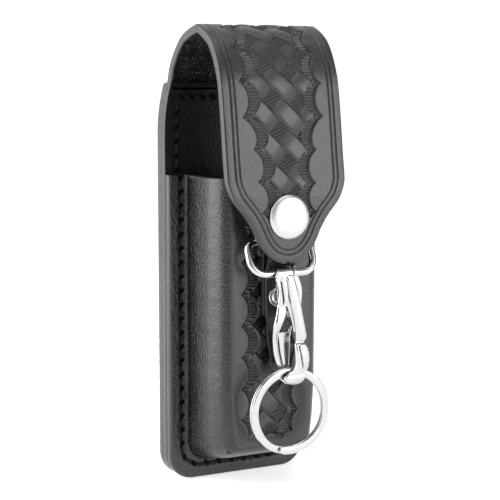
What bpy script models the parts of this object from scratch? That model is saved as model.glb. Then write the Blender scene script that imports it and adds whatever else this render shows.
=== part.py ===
"""Leather duty-belt case with a snap flap, a D-ring, a lever snap hook and a split key ring.

Metres, +Z up, the front faces -Y. The origin is the middle of the belt tunnel on the rear.
Inside this file places are given in the case frame: x from the middle, y from the front face
of the back panel (the front of the case is at -y), z up from the bottom edge.
"""
import math

import bmesh
import bpy
from mathutils import Matrix, Vector

# Case, back and flange
case_width = 0.054
mouth_height = 0.109
back_height = 0.141
back_top_width = 0.0492
back_shoulder_height = 0.018
bottom_corner_radius = 0.009
back_thickness = 0.0031
rear_thickness = 0.0030
flange_thickness = 0.0032
layer_gap = 0.0002
leather_edge = 0.0005

# Moulded body
body_front_reach = 0.0286
body_base_width = 0.0404
body_top_width = 0.0388
body_waist_width = 0.0382
body_waist_height = 0.036
body_foot_width = 0.0338
body_bottom_height = 0.0078
body_toe_rise = 0.0045
body_wall = 0.0028
body_corner_radius = 0.0054
body_bottom_radius = 0.0050

# Belt loop
loop_width = 0.038
loop_thickness = 0.0030
belt_gap = 0.0064
tunnel_height = 0.059
tunnel_centre_height = 0.097
loop_seam_height = 0.008
loop_rise_height = 0.005

# Flap
flap_width = 0.0448
flap_root_width = 0.0480
flap_thickness = 0.0032
flap_stand_off = 0.0088
flap_arch_height = 0.0175
flap_shoulder_rise = 0.0140
flap_tip_drop = 0.0157
tongue_thickness = 0.0016
tongue_height = 0.011
root_rise = 0.0014
hinge_gap = 0.0003
flap_arch_shares = [
    (0.000, 0.00), (0.047, 0.32), (0.137, 0.62), (0.246, 0.85), (0.419, 1.00), (0.519, 1.00),
    (0.711, 0.72), (0.841, 0.18), (0.896, -0.39), (0.948, -1.31), (0.968, -1.62),
    (0.992, -1.96), (1.000, -2.16),
]
flap_split_share = 0.45
flap_tip_shares = [
    (1.00, 0.000), (0.99, 0.084), (0.95, 0.185), (0.87, 0.306), (0.69, 0.471), (0.57, 0.613),
    (0.49, 0.741), (0.39, 0.855), (0.27, 0.939), (0.14, 0.987), (0.04, 1.000),
]

# Snap fastener
snap_height = 0.0965
cap_radius = 0.0075
cap_rise = 0.0024
cap_rim = 0.0007
cap_barrel_radius = 0.0021
socket_radius = 0.0060
socket_depth = 0.0042
socket_bore_radius = 0.0037
socket_bore_depth = 0.0029
stud_base_radius = 0.0056
stud_base_thickness = 0.0011
stud_neck_radius = 0.0024
stud_head_radius = 0.0029
post_radius = 0.0019
post_flange_radius = 0.0048
post_flange_thickness = 0.0008
metal_clearance = 0.00025

# D-ring and its tab
ring_wire = 0.0026
d_ring_width = 0.0267
d_ring_shift = 0.0005
d_ring_corner_radius = 0.0064
d_ring_top_radius = 0.0030
d_bar_drop = 0.0090
d_bow_gap = 0.0037
d_bow_lean = 0.0045
tab_thickness = 0.0018
tab_width = 0.0090
rivet_drop = 0.0189
tab_pinch_rise = 0.0039
tab_taper_drop = 0.0041
tab_tail_drop = 0.0066
tab_step_drop = 0.0020
tab_tip_drop = 0.0148
tab_tip_width = 0.0020
rivet_radius = 0.0033
rivet_dome = 0.0008
rivet_shank_radius = 0.0013
burr_radius = 0.0030
burr_thickness = 0.0008

# Snap hook, its places counted from the middle of the D-ring's bow
hook_offset = 0.0014
hook_sheet = 0.0009
hook_half_gap = 0.00195
hook_eye_width = 0.0100
hook_eye_drop = 0.0003
hook_length = 0.0347
hook_nose_thickness = 0.0020
hook_rear_length = 0.0155
hook_lip_rise = 0.0007
hook_sheet_edge = 0.00015
gate_sheet = 0.0009
gate_top = 0.0036
gate_tip = 0.0336
pin_offset = 0.0026
pin_drop = 0.0134
pin_radius = 0.0008
pin_clearance = 0.00015
pin_head_radius = 0.0015
pin_head_thickness = 0.0005
slit_width = 0.0007
spring_wire = 0.00036
spring_coil_radius = 0.00140
spring_pitch = 0.0008
spring_turns = 1.08
spring_upper_leg = 0.0036
spring_lower_leg = 0.0012
hook_rear_shares = [(1.00, 0.12, 0.98), (0.80, 0.12, 1.04), (0.40, -0.10, 1.30), (0.12, -0.42, 1.30)]
hook_front_shares = [
    (0.070, -0.90, 0.98), (0.130, -0.84, 1.00), (0.225, -0.76, 1.04), (0.285, -0.64, 1.04),
    (0.310, -0.18, 1.03), (0.413, 0.10, 0.92), (0.553, 0.34, 1.12), (0.647, 0.48, 1.20),
    (0.678, 0.44, 1.10), (0.712, 0.40, 1.30), (0.764, 0.40, 1.44), (0.886, 0.48, 1.46),
    (0.950, 0.34, 1.36), (0.985, 0.18, 1.24),
]
hook_nose_shares = [(0.14, 1.20), (-0.08, 1.14), (-0.24, 1.02), (-0.32, 0.86), (-0.36, 0.70)]

# Split ring
key_ring_diameter = 0.0301
key_ring_band = 0.0026
key_ring_depth = 0.0022
key_ring_turn_gap = 0.00045
key_ring_offset = 0.0014
key_ring_drop = 0.0339
key_ring_turns = 1.92
key_ring_jog_share = 0.12

overrun = 0.002

# Places worked out from the sizes above
rear_face = back_thickness + layer_gap + rear_thickness
flange_front = -(layer_gap + flange_thickness)
tunnel_centre_depth = rear_face + layer_gap + belt_gap / 2
flap_root_depth = back_thickness + layer_gap / 2
flap_front_depth = -(body_front_reach + flap_stand_off + flap_thickness / 2)
flap_rear_surface = flap_front_depth + flap_thickness / 2
flap_shoulder_height = snap_height + flap_shoulder_rise
flap_tip_height = snap_height - flap_tip_drop
d_bar_height = snap_height - d_bar_drop
d_bow_height = flap_tip_height - d_bow_gap
d_bow_drop = d_bar_height - d_bow_height
rivet_height = d_bar_height - rivet_drop
tab_pinch_height = rivet_height + tab_pinch_rise
tab_taper_height = rivet_height - tab_taper_drop
tab_rear_bottom = rivet_height - tab_tail_drop
tab_step_height = tab_rear_bottom - tab_step_drop
tab_tip_height = tab_step_height - tab_tip_drop
tab_rear_depth = -(body_front_reach + layer_gap + tab_thickness / 2)
tab_rear_face = tab_rear_depth - tab_thickness / 2
d_bar_depth = tab_rear_face - layer_gap - ring_wire / 2
d_bow_depth = d_bar_depth - d_bow_lean
tab_front_depth = tab_rear_face - layer_gap - tab_thickness / 2
hook_plane = hook_half_gap + hook_sheet / 2

LEATHER = (0.018, 0.018, 0.019, 1.0)
CHROME = (0.80, 0.80, 0.81, 1.0)
NICKEL = (0.72, 0.72, 0.72, 1.0)


def clear_scene():
    for obj in list(bpy.data.objects):
        bpy.data.objects.remove(obj, do_unlink=True)


def make_collection(name):
    found = bpy.data.collections.new(name)
    bpy.context.scene.collection.children.link(found)
    return found


def material(name, colour, roughness, metallic):
    made = bpy.data.materials.new(name)
    made.use_nodes = True
    shader = made.node_tree.nodes["Principled BSDF"]
    shader.inputs["Base Color"].default_value = colour
    shader.inputs["Roughness"].default_value = roughness
    shader.inputs["Metallic"].default_value = metallic
    return made


def empty(name, place, parent=None):
    made = bpy.data.objects.new(name, None)
    made.empty_display_size = ring_wire
    made.location = place
    made.parent = parent
    PARTS.objects.link(made)
    return made


def case_place(frame):
    """Where a joint's empty lies in the case frame."""
    place = Vector((0, 0, 0))
    while frame is not None and frame.parent is not None:
        place += frame.location
        frame = frame.parent
    return place


def add_object(name, mesh, frame, finish):
    """Link a mesh that is drawn in the case frame as a child of a joint's empty."""
    mesh.transform(Matrix.Translation(-case_place(frame)))
    made = bpy.data.objects.new(name, mesh)
    made.parent = frame
    made.data.materials.append(finish)
    PARTS.objects.link(made)
    mesh.shade_smooth()
    mesh.set_sharp_from_angle(angle=math.radians(35))
    return made


def add_cutter(name, mesh, target, operation="DIFFERENCE"):
    """Cut or join a mesh, drawn in the case frame, with an object."""
    cutter = bpy.data.objects.new(name, mesh)
    cutter.parent = CASE
    cutter.hide_render = True
    cutter.display_type = "WIRE"
    CUTTERS.objects.link(cutter)
    change = target.modifiers.new(name, "BOOLEAN")
    change.operation = operation
    change.solver = "EXACT"
    change.object = cutter
    return cutter


def finish_mesh(bm, name):
    bmesh.ops.recalc_face_normals(bm, faces=bm.faces)
    mesh = bpy.data.meshes.new(name)
    bm.to_mesh(mesh)
    bm.free()
    return mesh


def box_mesh(name, low, high):
    bm = bmesh.new()
    low, high = Vector(low), Vector(high)
    size = high - low
    bmesh.ops.create_cube(bm, size=1)
    bmesh.ops.scale(bm, vec=size, verts=bm.verts)
    bmesh.ops.translate(bm, vec=(low + high) / 2, verts=bm.verts)
    return finish_mesh(bm, name)


def cylinder_mesh(name, centre, radius, front, rear, sides=32):
    """A round bar along y."""
    bm = bmesh.new()
    turn = Matrix.Rotation(math.pi / 2, 4, "X")
    middle = Matrix.Translation((centre[0], (front + rear) / 2, centre[1]))
    bmesh.ops.create_cone(
        bm,
        cap_ends=True,
        segments=sides,
        radius1=radius,
        radius2=radius,
        depth=rear - front,
        matrix=middle @ turn,
    )
    return finish_mesh(bm, name)


def loft_mesh(name, rings, closed=False):
    """Join rings of points, all of one length, into one closed body."""
    bm = bmesh.new()
    layers = [[bm.verts.new(point) for point in ring] for ring in rings]
    pairs = list(zip(layers, layers[1:]))
    if closed:
        pairs.append((layers[-1], layers[0]))
    for one, two in pairs:
        for i in range(len(one)):
            j = (i + 1) % len(one)
            bm.faces.new((one[i], one[j], two[j], two[i]))
    if not closed:
        bm.faces.new(list(reversed(layers[0])))
        bm.faces.new(layers[-1])
    return finish_mesh(bm, name)


def turned_mesh(name, profile, centre, steps=32):
    """Turn a profile of (radius, y) pairs about an axis along y."""
    rings = []
    for step in range(steps):
        angle = 2 * math.pi * step / steps
        across, up = math.cos(angle), math.sin(angle)
        rings.append([
            Vector((centre[0] + r * across, y, centre[1] + r * up)) for r, y in profile
        ])
    return loft_mesh(name, rings, closed=True)


def smooth(points, steps):
    """Points of a Catmull-Rom curve through tuples of any length."""
    values = [Vector(p) for p in points]
    first = values[0] * 2 - values[1]
    last = values[-1] * 2 - values[-2]
    padded = [first] + values + [last]
    made = []
    for a, b, c, d in zip(padded, padded[1:], padded[2:], padded[3:]):
        for step in range(steps):
            t = step / steps
            made.append((
                b * 2 + (c - a) * t + (a * 2 - b * 5 + c * 4 - d) * t ** 2
                + (b * 3 - a - c * 3 + d) * t ** 3
            ) / 2)
    made.append(values[-1])
    return made


def strip_mesh(name, stations, edge):
    """A strap along a path: each station is (y, z, left x, right x, thickness)."""
    rings = []
    last = len(stations) - 1
    for i, (y, z, left, right, thick) in enumerate(stations):
        before, after = stations[max(i - 1, 0)], stations[min(i + 1, last)]
        along = Vector((after[0] - before[0], after[1] - before[1])).normalized()
        normal = Vector((-along[1], along[0]))
        half, cut = thick / 2, min(edge, thick / 3, (right - left) / 3)
        outline = (
            (left + cut, -half), (right - cut, -half), (right, cut - half),
            (right, half - cut), (right - cut, half), (left + cut, half),
            (left, half - cut), (left, cut - half),
        )
        rings.append([Vector((x, y + normal[0] * v, z + normal[1] * v)) for x, v in outline])
    return loft_mesh(name, rings)


def plate_mesh(name, outline, front, rear, edge):
    """A flat plate from an outline of (x, z) points, with eased front and rear edges."""
    bm = bmesh.new()
    face = bm.faces.new([bm.verts.new((x, front, z)) for x, z in outline])
    grown = bmesh.ops.extrude_face_region(bm, geom=[face])
    moved = [item for item in grown["geom"] if isinstance(item, bmesh.types.BMVert)]
    bmesh.ops.translate(bm, vec=(0, rear - front, 0), verts=moved)
    bmesh.ops.recalc_face_normals(bm, faces=bm.faces)
    rims = [e for e in bm.edges if abs(e.verts[0].co.y - e.verts[1].co.y) < layer_gap]
    bmesh.ops.bevel(bm, geom=rims, offset=edge, segments=1, affect="EDGES")
    return finish_mesh(bm, name)


def arc(centre, radius, start, end, steps):
    """Points of an arc, angles in degrees counted from +x or +y."""
    made = []
    for step in range(steps + 1):
        angle = math.radians(start + (end - start) * step / steps)
        made.append((centre[0] + radius * math.cos(angle), centre[1] + radius * math.sin(angle)))
    return made


def mirrored(half):
    """Close a right-hand outline, listed from the bottom up, with its mirror image."""
    return half + [(-x, z) for x, z in reversed(half)]


def foot_outline():
    """Right half of the rounded bottom edge."""
    centre = (case_width / 2 - bottom_corner_radius, bottom_corner_radius)
    return arc(centre, bottom_corner_radius, -90, 0, 6)


def shoulder_outline():
    """Right half of the back's narrowed top."""
    low, wide, narrow = back_height - back_shoulder_height, case_width / 2, back_top_width / 2
    rise = back_shoulder_height - leather_edge
    steps = 6
    made = []
    for step in range(steps + 1):
        share = step / steps
        made.append((wide - (wide - narrow) * share ** 2, low + rise * share))
    made.append((narrow - leather_edge, back_height))
    return made


def make_back_panel(finish):
    outline = mirrored(foot_outline() + shoulder_outline())
    mesh = plate_mesh("back_panel", outline, 0, back_thickness, leather_edge)
    panel = add_object("back_panel", mesh, CASE, finish)
    skived = flap_root_depth - tongue_thickness / 2 - layer_gap
    low = (-case_width, skived, back_height - tongue_height - layer_gap)
    high = (case_width, back_thickness + overrun, back_height + overrun)
    add_cutter("back_panel_skive", box_mesh("skive", low, high), panel)
    return panel


def make_rear_panel(finish):
    outline = mirrored(foot_outline() + shoulder_outline())
    front = back_thickness + layer_gap
    mesh = plate_mesh("rear_panel", outline, front, rear_face, leather_edge)
    panel = add_object("rear_panel", mesh, CASE, finish)
    skived = flap_root_depth + tongue_thickness / 2 + layer_gap
    low = (-case_width, front - overrun, back_height - tongue_height - layer_gap)
    high = (case_width, skived, back_height + overrun)
    add_cutter("rear_panel_skive", box_mesh("skive", low, high), panel)
    return panel


def make_belt_loop(finish):
    """Strap sewn above and below the belt tunnel, with a flat face to the wearer."""
    seat = rear_face + layer_gap + loop_thickness / 2
    out = seat + belt_gap
    top = tunnel_centre_height + tunnel_height / 2
    low = tunnel_centre_height - tunnel_height / 2
    side, rise, seam = loop_width / 2, loop_rise_height, loop_seam_height
    path = [(seat, low - rise - seam), (seat, low - rise)]
    path += rise_curve(seat, out, low - rise, low)
    path += [(out, top)]
    path += rise_curve(out, seat, top, top + rise)
    path += [(seat, top + rise + seam)]
    stations = [(y, z, -side, side, loop_thickness) for y, z in path]
    return add_object("belt_loop", strip_mesh("belt_loop", stations, leather_edge), CASE, finish)


def rise_curve(start, end, low, high):
    """A smooth step in y between two heights."""
    steps = 6
    made = []
    for step in range(1, steps + 1):
        share = step / steps
        eased = share * share * (3 - 2 * share)
        made.append((start + (end - start) * eased, low + (high - low) * share))
    return made


def moulded_block(name, inset):
    """The moulded box, drawn smaller on every side by the inset."""
    bm = bmesh.new()
    bmesh.ops.create_cube(bm, size=1)
    waist = [*bm.verts, *bm.edges, *bm.faces]
    bmesh.ops.bisect_plane(bm, geom=waist, plane_co=(0, 0, 0), plane_no=(0, 0, 1))
    front = -(body_front_reach - inset)
    for vert in bm.verts:
        ahead, above, level = vert.co.y < 0, vert.co.z > 0, vert.co.z == 0
        wide = body_base_width
        if ahead and level:
            wide = body_waist_width
        elif ahead:
            wide = body_top_width if above else body_foot_width
        side = wide / 2 - inset
        toe = body_toe_rise if ahead else 0
        z = mouth_height + (overrun if inset else 0) if above else body_bottom_height + inset + toe
        if level:
            z = body_waist_height
        y = front if ahead else (overrun if inset else -layer_gap)
        vert.co = (math.copysign(side, vert.co.x), y, z)
    upright = [e for e in bm.edges if is_front_corner(e)]
    radius = body_corner_radius - inset
    bmesh.ops.bevel(bm, geom=upright, offset=radius, segments=6, profile=0.5, affect="EDGES")
    sill = body_bottom_height + inset
    foot = [e for e in bm.edges if is_bottom_rim(e, sill)]
    radius = body_bottom_radius - inset / 2
    bmesh.ops.bevel(bm, geom=foot, offset=radius, segments=4, profile=0.5, affect="EDGES")
    return finish_mesh(bm, name)


def is_front_corner(edge):
    one, two = edge.verts
    ahead = max(one.co.y, two.co.y) < -body_front_reach / 2
    return ahead and abs(one.co.z - two.co.z) > body_bottom_height


def is_bottom_rim(edge, sill):
    one, two = edge.verts
    low = max(one.co.z, two.co.z) < sill + body_toe_rise + layer_gap
    behind = min(one.co.y, two.co.y) > -body_front_reach / 4
    return low and not behind


def make_case_body(finish):
    """Moulded front and its sewn flange, open at the top and at the back."""
    body = add_object("case_body", moulded_block("case_body", 0), CASE, finish)
    wide = case_width / 2
    outline = mirrored(foot_outline() + [(wide, mouth_height)])
    flange = plate_mesh("flange", outline, flange_front, -layer_gap, leather_edge)
    add_cutter("case_flange", flange, body, "UNION")
    add_cutter("case_cavity", moulded_block("cavity", body_wall), body)
    for place, radius in ((snap_height, post_radius), (rivet_height, rivet_shank_radius)):
        hole = cylinder_mesh(
            "hole", (0, place), radius + metal_clearance, -body_front_reach - overrun,
            -body_front_reach + body_wall + overrun,
        )
        add_cutter("case_hole", hole, body)
    return body


def flap_path():
    """Centre line of the whole flap strap over its arch, from the root forward."""
    depth = flap_root_depth - flap_front_depth
    points = [
        (flap_root_depth - depth * back, back_height + flap_arch_height * up)
        for back, up in flap_arch_shares
    ]
    return smooth(points, 4)


def flap_side(depth):
    """Half the flap's width at a depth: it narrows over the arch."""
    share = min(max((flap_root_depth - depth) / (flap_root_depth - flap_front_depth), 0), 1)
    eased = share * (2 - share)
    return (flap_root_width + (flap_width - flap_root_width) * eased) / 2


def make_flap_root(finish):
    """Skived tongue between the back's layers, and the strap up to the top of the arch."""
    side = flap_root_width / 2
    low, seam = back_height - tongue_height, back_height + layer_gap
    stations = [
        (flap_root_depth, low, -side, side, tongue_thickness),
        (flap_root_depth, seam, -side, side, tongue_thickness),
        (flap_root_depth, seam + layer_gap, -side, side, flap_thickness),
        (flap_root_depth, back_height + root_rise, -side, side, flap_thickness),
    ]
    split = hinge_depth() + hinge_gap
    path = [(y, z) for y, z in flap_path() if y > split and z > back_height + root_rise * 2]
    for y, z in path + [path_at(split)]:
        side = flap_side(y)
        stations.append((y, z, -side, side, flap_thickness))
    mesh = strip_mesh("flap_root", stations, leather_edge)
    return add_object("flap_root", mesh, CASE, finish)


def hinge_depth():
    return flap_root_depth - (flap_root_depth - flap_front_depth) * flap_split_share


def path_at(depth):
    """The centre line's point at a depth, on the front-going arch."""
    path = flap_path()
    for (y0, z0), (y1, z1) in zip(path, path[1:]):
        if y0 >= depth > y1:
            share = (y0 - depth) / (y0 - y1)
            return depth, z0 + (z1 - z0) * share
    return path[-1]


def front_depth_at(height):
    """Depth of the flap's front part at a height."""
    path = [place for place in flap_path() if place[0] < hinge_depth()]
    for (y0, z0), (y1, z1) in zip(path, path[1:]):
        if z0 >= height > z1:
            return y0 + (y1 - y0) * (z0 - height) / (z0 - z1)
    return flap_front_depth


def flap_tip_outline():
    """Right half of the flap's front outline from the shoulder down to the tip."""
    side, drop = flap_width / 2, flap_shoulder_height - flap_tip_height
    points = [(side * wide, flap_shoulder_height - drop * down) for wide, down in flap_tip_shares]
    return smooth(points, 2)


def make_flap_front(finish):
    """The tooled flap, from the top of the arch to its rounded tip."""
    split = hinge_depth()
    tip = flap_tip_outline()
    path = [(y, z) for y, z in flap_path() if y < split - layer_gap and z > tip[0][1] + leather_edge]
    stations = []
    for y, z in [path_at(split)] + path:
        side = flap_side(y)
        stations.append((y, z, -side, side, flap_thickness))
    for x, z in tip:
        stations.append((front_depth_at(z), z, -x, x, flap_thickness))
    mesh = strip_mesh("flap_front", stations, leather_edge)
    flap = add_object("flap_front", mesh, FLAP, finish)
    hole = cylinder_mesh(
        "hole", (0, snap_height), cap_barrel_radius + metal_clearance,
        flap_front_depth - flap_thickness, flap_front_depth + flap_thickness,
    )
    add_cutter("flap_hole", hole, flap)
    return flap


def make_snap_cap(finish):
    """Domed cap on the flap's face, with the barrel that is set through the leather."""
    face = flap_front_depth - flap_thickness / 2 - metal_clearance
    barrel_end = flap_rear_surface + socket_depth / 5
    dome = [
        (cap_radius * math.cos(a), face - cap_rim - (cap_rise - cap_rim) * math.sin(a))
        for a in [math.radians(d) for d in (88, 70, 50, 32, 16, 0)]
    ]
    profile = dome + [
        (cap_radius, face), (cap_barrel_radius, face), (cap_barrel_radius, barrel_end),
        (cap_barrel_radius / 8, barrel_end),
    ]
    mesh = solid_turn("snap_cap", profile, (0, snap_height))
    return add_object("snap_cap", mesh, FLAP, finish)


def solid_turn(name, profile, centre, steps=32):
    """Turn a profile and close it on its axis."""
    bm = bmesh.new()
    rings = []
    for r, y in profile:
        rings.append([
            bm.verts.new((
                centre[0] + r * math.cos(2 * math.pi * step / steps),
                y,
                centre[1] + r * math.sin(2 * math.pi * step / steps),
            ))
            for step in range(steps)
        ])
    for one, two in zip(rings, rings[1:]):
        for i in range(steps):
            j = (i + 1) % steps
            bm.faces.new((one[i], one[j], two[j], two[i]))
    bm.faces.new(list(reversed(rings[0])))
    bm.faces.new(rings[-1])
    return finish_mesh(bm, name)


def make_snap_socket(finish):
    """Socket behind the flap, open to the stud."""
    top = flap_rear_surface + metal_clearance
    hole = cap_barrel_radius + metal_clearance
    floor = top + socket_depth - socket_bore_depth
    profile = [
        (hole, top), (socket_radius, top), (socket_radius, top + socket_depth / 3),
        (socket_radius * 0.86, top + socket_depth), (socket_bore_radius, top + socket_depth),
        (socket_bore_radius, floor), (hole, floor),
    ]
    mesh = turned_mesh("snap_socket", profile, (0, snap_height))
    return add_object("snap_socket", mesh, FLAP, finish)


def make_snap_stud(finish):
    """Stud on the case's front, whose head sits in the socket."""
    seat = -body_front_reach - metal_clearance
    socket_end = flap_rear_surface + metal_clearance + socket_depth
    head = socket_end - socket_bore_depth + metal_clearance * 2
    waist = head + (socket_bore_depth - metal_clearance * 2) * 2 / 3
    hole = post_radius + metal_clearance
    base = seat - stud_base_thickness
    profile = [
        (hole, seat), (stud_base_radius, seat), (stud_base_radius, base),
        (stud_neck_radius + stud_base_thickness, base),
        (stud_neck_radius, base - stud_base_thickness), (stud_neck_radius, waist),
        (stud_head_radius, waist - metal_clearance), (stud_head_radius, head + metal_clearance),
        (stud_head_radius - metal_clearance, head), (hole, head),
    ]
    mesh = turned_mesh("snap_stud", profile, (0, snap_height))
    return add_object("snap_stud", mesh, CASE, finish)


def make_snap_post(finish):
    """Flanged post set from inside the case through the wall into the stud."""
    wall = -body_front_reach + body_wall + metal_clearance
    end = -body_front_reach - stud_base_thickness * 2
    profile = [
        (post_radius / 8, end), (post_radius, end), (post_radius, wall),
        (post_flange_radius, wall), (post_flange_radius, wall + post_flange_thickness / 2),
        (post_flange_radius * 0.8, wall + post_flange_thickness),
        (post_radius / 8, wall + post_flange_thickness),
    ]
    mesh = solid_turn("snap_post", profile, (0, snap_height))
    return add_object("snap_post", mesh, CASE, finish)


def make_ring_tab(finish):
    """Strap folded over the D-ring's bar and riveted, its front end cut to a taper."""
    side, thick, tip = tab_width / 2, tab_thickness, tab_tip_width / 2
    fold = ring_wire / 2 + layer_gap + thick / 2
    path = [(tab_rear_depth, tab_rear_bottom, side), (tab_rear_depth, rivet_height, side)]
    path += [(y, z, side) for y, z in arc((d_bar_depth, d_bar_height), fold, 0, 180, 10)]
    bulge = d_bar_depth - fold
    path += [
        (y, z, side)
        for y, z in rise_curve(bulge, tab_front_depth, d_bar_height - ring_wire, tab_pinch_height)
    ]
    path += [(tab_front_depth, tab_taper_height, side)]
    run = tab_taper_height - tab_tip_height
    for y, z in rise_curve(tab_front_depth, tab_rear_depth, tab_step_height, tab_step_height - thick * 2):
        path.append((y, z, side - (side - tip) * (tab_taper_height - z) / run))
    path += [
        (tab_rear_depth, tab_tip_height + tip, tip + tip / 2),
        (tab_rear_depth, tab_tip_height + tip / 3, tip),
        (tab_rear_depth, tab_tip_height, tip / 2),
    ]
    stations = [(y, z, -x, x, thick) for y, z, x in path]
    tab = add_object("ring_tab", strip_mesh("ring_tab", stations, leather_edge), CASE, finish)
    hole = cylinder_mesh(
        "hole", (0, rivet_height), rivet_shank_radius + metal_clearance,
        tab_front_depth - thick, tab_rear_depth + thick,
    )
    add_cutter("tab_hole", hole, tab)
    return tab


def make_tab_rivet(finish):
    """Domed rivet through both layers of the tab and the case's wall."""
    face = tab_front_depth - tab_thickness / 2 - metal_clearance / 2
    inside = -body_front_reach + body_wall + metal_clearance + burr_thickness * 3 / 2
    dome = [
        (rivet_radius * math.cos(a), face - rivet_dome * math.sin(a))
        for a in [math.radians(d) for d in (86, 60, 35, 15)]
    ]
    profile = dome + [
        (rivet_radius, face), (rivet_shank_radius, face), (rivet_shank_radius, inside),
        (rivet_shank_radius / 8, inside),
    ]
    mesh = solid_turn("tab_rivet", profile, (0, rivet_height), 24)
    return add_object("tab_rivet", mesh, CASE, finish)


def make_rivet_burr(finish):
    """Washer that the rivet's end is set over, inside the case."""
    wall = -body_front_reach + body_wall + metal_clearance
    hole = rivet_shank_radius + metal_clearance
    profile = [
        (hole, wall), (burr_radius, wall), (burr_radius, wall + burr_thickness / 2),
        (burr_radius * 0.85, wall + burr_thickness), (hole, wall + burr_thickness),
    ]
    mesh = turned_mesh("rivet_burr", profile, (0, rivet_height), 24)
    return add_object("rivet_burr", mesh, CASE, finish)


def d_ring_route():
    """Centre line of the D-ring in its own plane: x, and the share of the way to the bow."""
    side = (d_ring_width - ring_wire) / 2
    drop = math.hypot(d_bow_drop, d_bow_lean)
    low, high = d_ring_corner_radius - ring_wire / 2, d_ring_top_radius
    route = arc((side - high, -high), high, 90, 0, 5)
    route += arc((side - low, low - drop), low, 0, -90, 6)
    route += arc((low - side, low - drop), low, -90, -180, 6)
    route += arc((high - side, -high), high, 180, 90, 5)
    return [(x, -down / drop) for x, down in route]


def tube_mesh(name, points, radius, closed=False, sides=10):
    """A round wire along points, made from a curve."""
    data = bpy.data.curves.new(name, "CURVE")
    data.dimensions = "3D"
    data.bevel_depth = radius
    data.bevel_resolution = (sides - 4) // 2
    data.use_fill_caps = not closed
    spline = data.splines.new("POLY")
    spline.points.add(len(points) - 1)
    for point, place in zip(spline.points, points):
        point.co = (*place, 1)
    spline.use_cyclic_u = closed
    guide = bpy.data.objects.new(name, data)
    bpy.context.scene.collection.objects.link(guide)
    bpy.context.view_layer.update()
    found = guide.evaluated_get(bpy.context.evaluated_depsgraph_get())
    mesh = bpy.data.meshes.new_from_object(found)
    bpy.data.objects.remove(guide, do_unlink=True)
    bm = bmesh.new()
    bm.from_mesh(mesh)
    bmesh.ops.remove_doubles(bm, verts=bm.verts, dist=layer_gap / 20)
    bm.to_mesh(mesh)
    bm.free()
    return mesh


def make_d_ring(finish):
    points = [
        (d_ring_shift + x, d_bar_depth - d_bow_lean * share, d_bar_height - d_bow_drop * share)
        for x, share in d_ring_route()
    ]
    mesh = tube_mesh("d_ring", points, ring_wire / 2, closed=True)
    return add_object("d_ring", mesh, D_RING, finish)


def hook_stations(rows, sheet):
    """Turn rows (y, z, left, right, any added thickness) into strap stations."""
    return [
        (
            d_bow_depth + row[0], d_bow_height + row[1], hook_offset + row[2],
            hook_offset + row[3], sheet + (row[4] if len(row) > 4 else 0),
        )
        for row in rows
    ]


def eased_rows(rows, steps=4):
    """Fill in between rows with straight runs in depth and eased changes of width."""
    made = []
    for one, two in zip(rows, rows[1:]):
        for step in range(steps):
            share = step / steps
            eased = share * share * (3 - 2 * share)
            made.append(tuple(
                a + (b - a) * (share if i == 1 else eased)
                for i, (a, b) in enumerate(zip(one, two))
            ))
    made.append(rows[-1])
    return made


def make_hook_frame(finish):
    """One bent strip: rear strap, eye over the bow, front arm, fixed jaw and curled nose."""
    plane, eye, length = hook_plane, hook_eye_width / 2, hook_length
    rear = [(plane, -hook_rear_length * down, eye * a, eye * b) for down, a, b in hook_rear_shares]
    rows = eased_rows(rear, 3)
    fold = arc((0, -hook_eye_drop), plane, 0, 180, 10)
    for i, (y, z) in enumerate(fold):
        share = i / (len(fold) - 1)
        left, right = -eye * (0.44 + 0.52 * share), eye * (1.30 - 0.32 * share)
        rows.append((y, z, left, right))
    front = [(-plane, -length * down, eye * a, eye * b) for down, a, b in hook_front_shares]
    rows += eased_rows(front, 2)
    curl = arc((0, -length), plane, 180, 360, 8)
    for i, (y, z) in enumerate(curl):
        share = i * (len(hook_nose_shares) - 1) / (len(curl) - 1)
        one = hook_nose_shares[int(share)]
        two = hook_nose_shares[min(int(share) + 1, len(hook_nose_shares) - 1)]
        part = share - int(share)
        left, right = (a + (b - a) * part for a, b in zip(one, two))
        swell = (hook_nose_thickness - hook_sheet) * math.sin(math.pi * i / (len(curl) - 1)) ** 2
        rows.append((y, z, eye * left, eye * right, swell))
    rows.append((plane, hook_lip_rise - length, -eye * 0.34, eye * 0.52))
    mesh = strip_mesh("hook_frame", hook_stations(rows, hook_sheet), hook_sheet_edge)
    frame = add_object("hook_frame", mesh, HOOK, finish)
    cut_pin_hole(frame)
    depths = (d_bow_depth - plane - hook_sheet, d_bow_depth - plane + hook_sheet)
    cut_slit(frame, (-eye * 0.40, -length * 0.08), (-eye * 0.34, -length * 0.26), depths)
    cut_slit(frame, (eye * 0.56, -length * 0.08), (eye * 0.74, -length * 0.28), depths)
    cut_slit(frame, (eye * 0.80, -length * 0.755), (eye * 0.84, -length * 0.90), depths)
    return frame


def cut_pin_hole(target):
    centre = (hook_offset + pin_offset, d_bow_height - pin_drop)
    reach = hook_plane + hook_sheet
    hole = cylinder_mesh(
        "hole", centre, pin_radius + pin_clearance, d_bow_depth - reach, d_bow_depth + reach, 20,
    )
    add_cutter("pin_hole", hole, target)


def cut_slit(target, start, end, depths):
    """A narrow slot through a sheet, between two points counted from the bow's middle."""
    one = Vector((hook_offset + start[0], d_bow_height + start[1]))
    two = Vector((hook_offset + end[0], d_bow_height + end[1]))
    heading = math.degrees(math.atan2(two.y - one.y, two.x - one.x))
    outline = arc(one, slit_width / 2, heading + 90, heading + 270, 4)
    outline += arc(two, slit_width / 2, heading - 90, heading + 90, 4)
    rings = [[Vector((x, depth, z)) for x, z in outline] for depth in depths]
    add_cutter("slit", loft_mesh("slit", rings), target)


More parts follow.
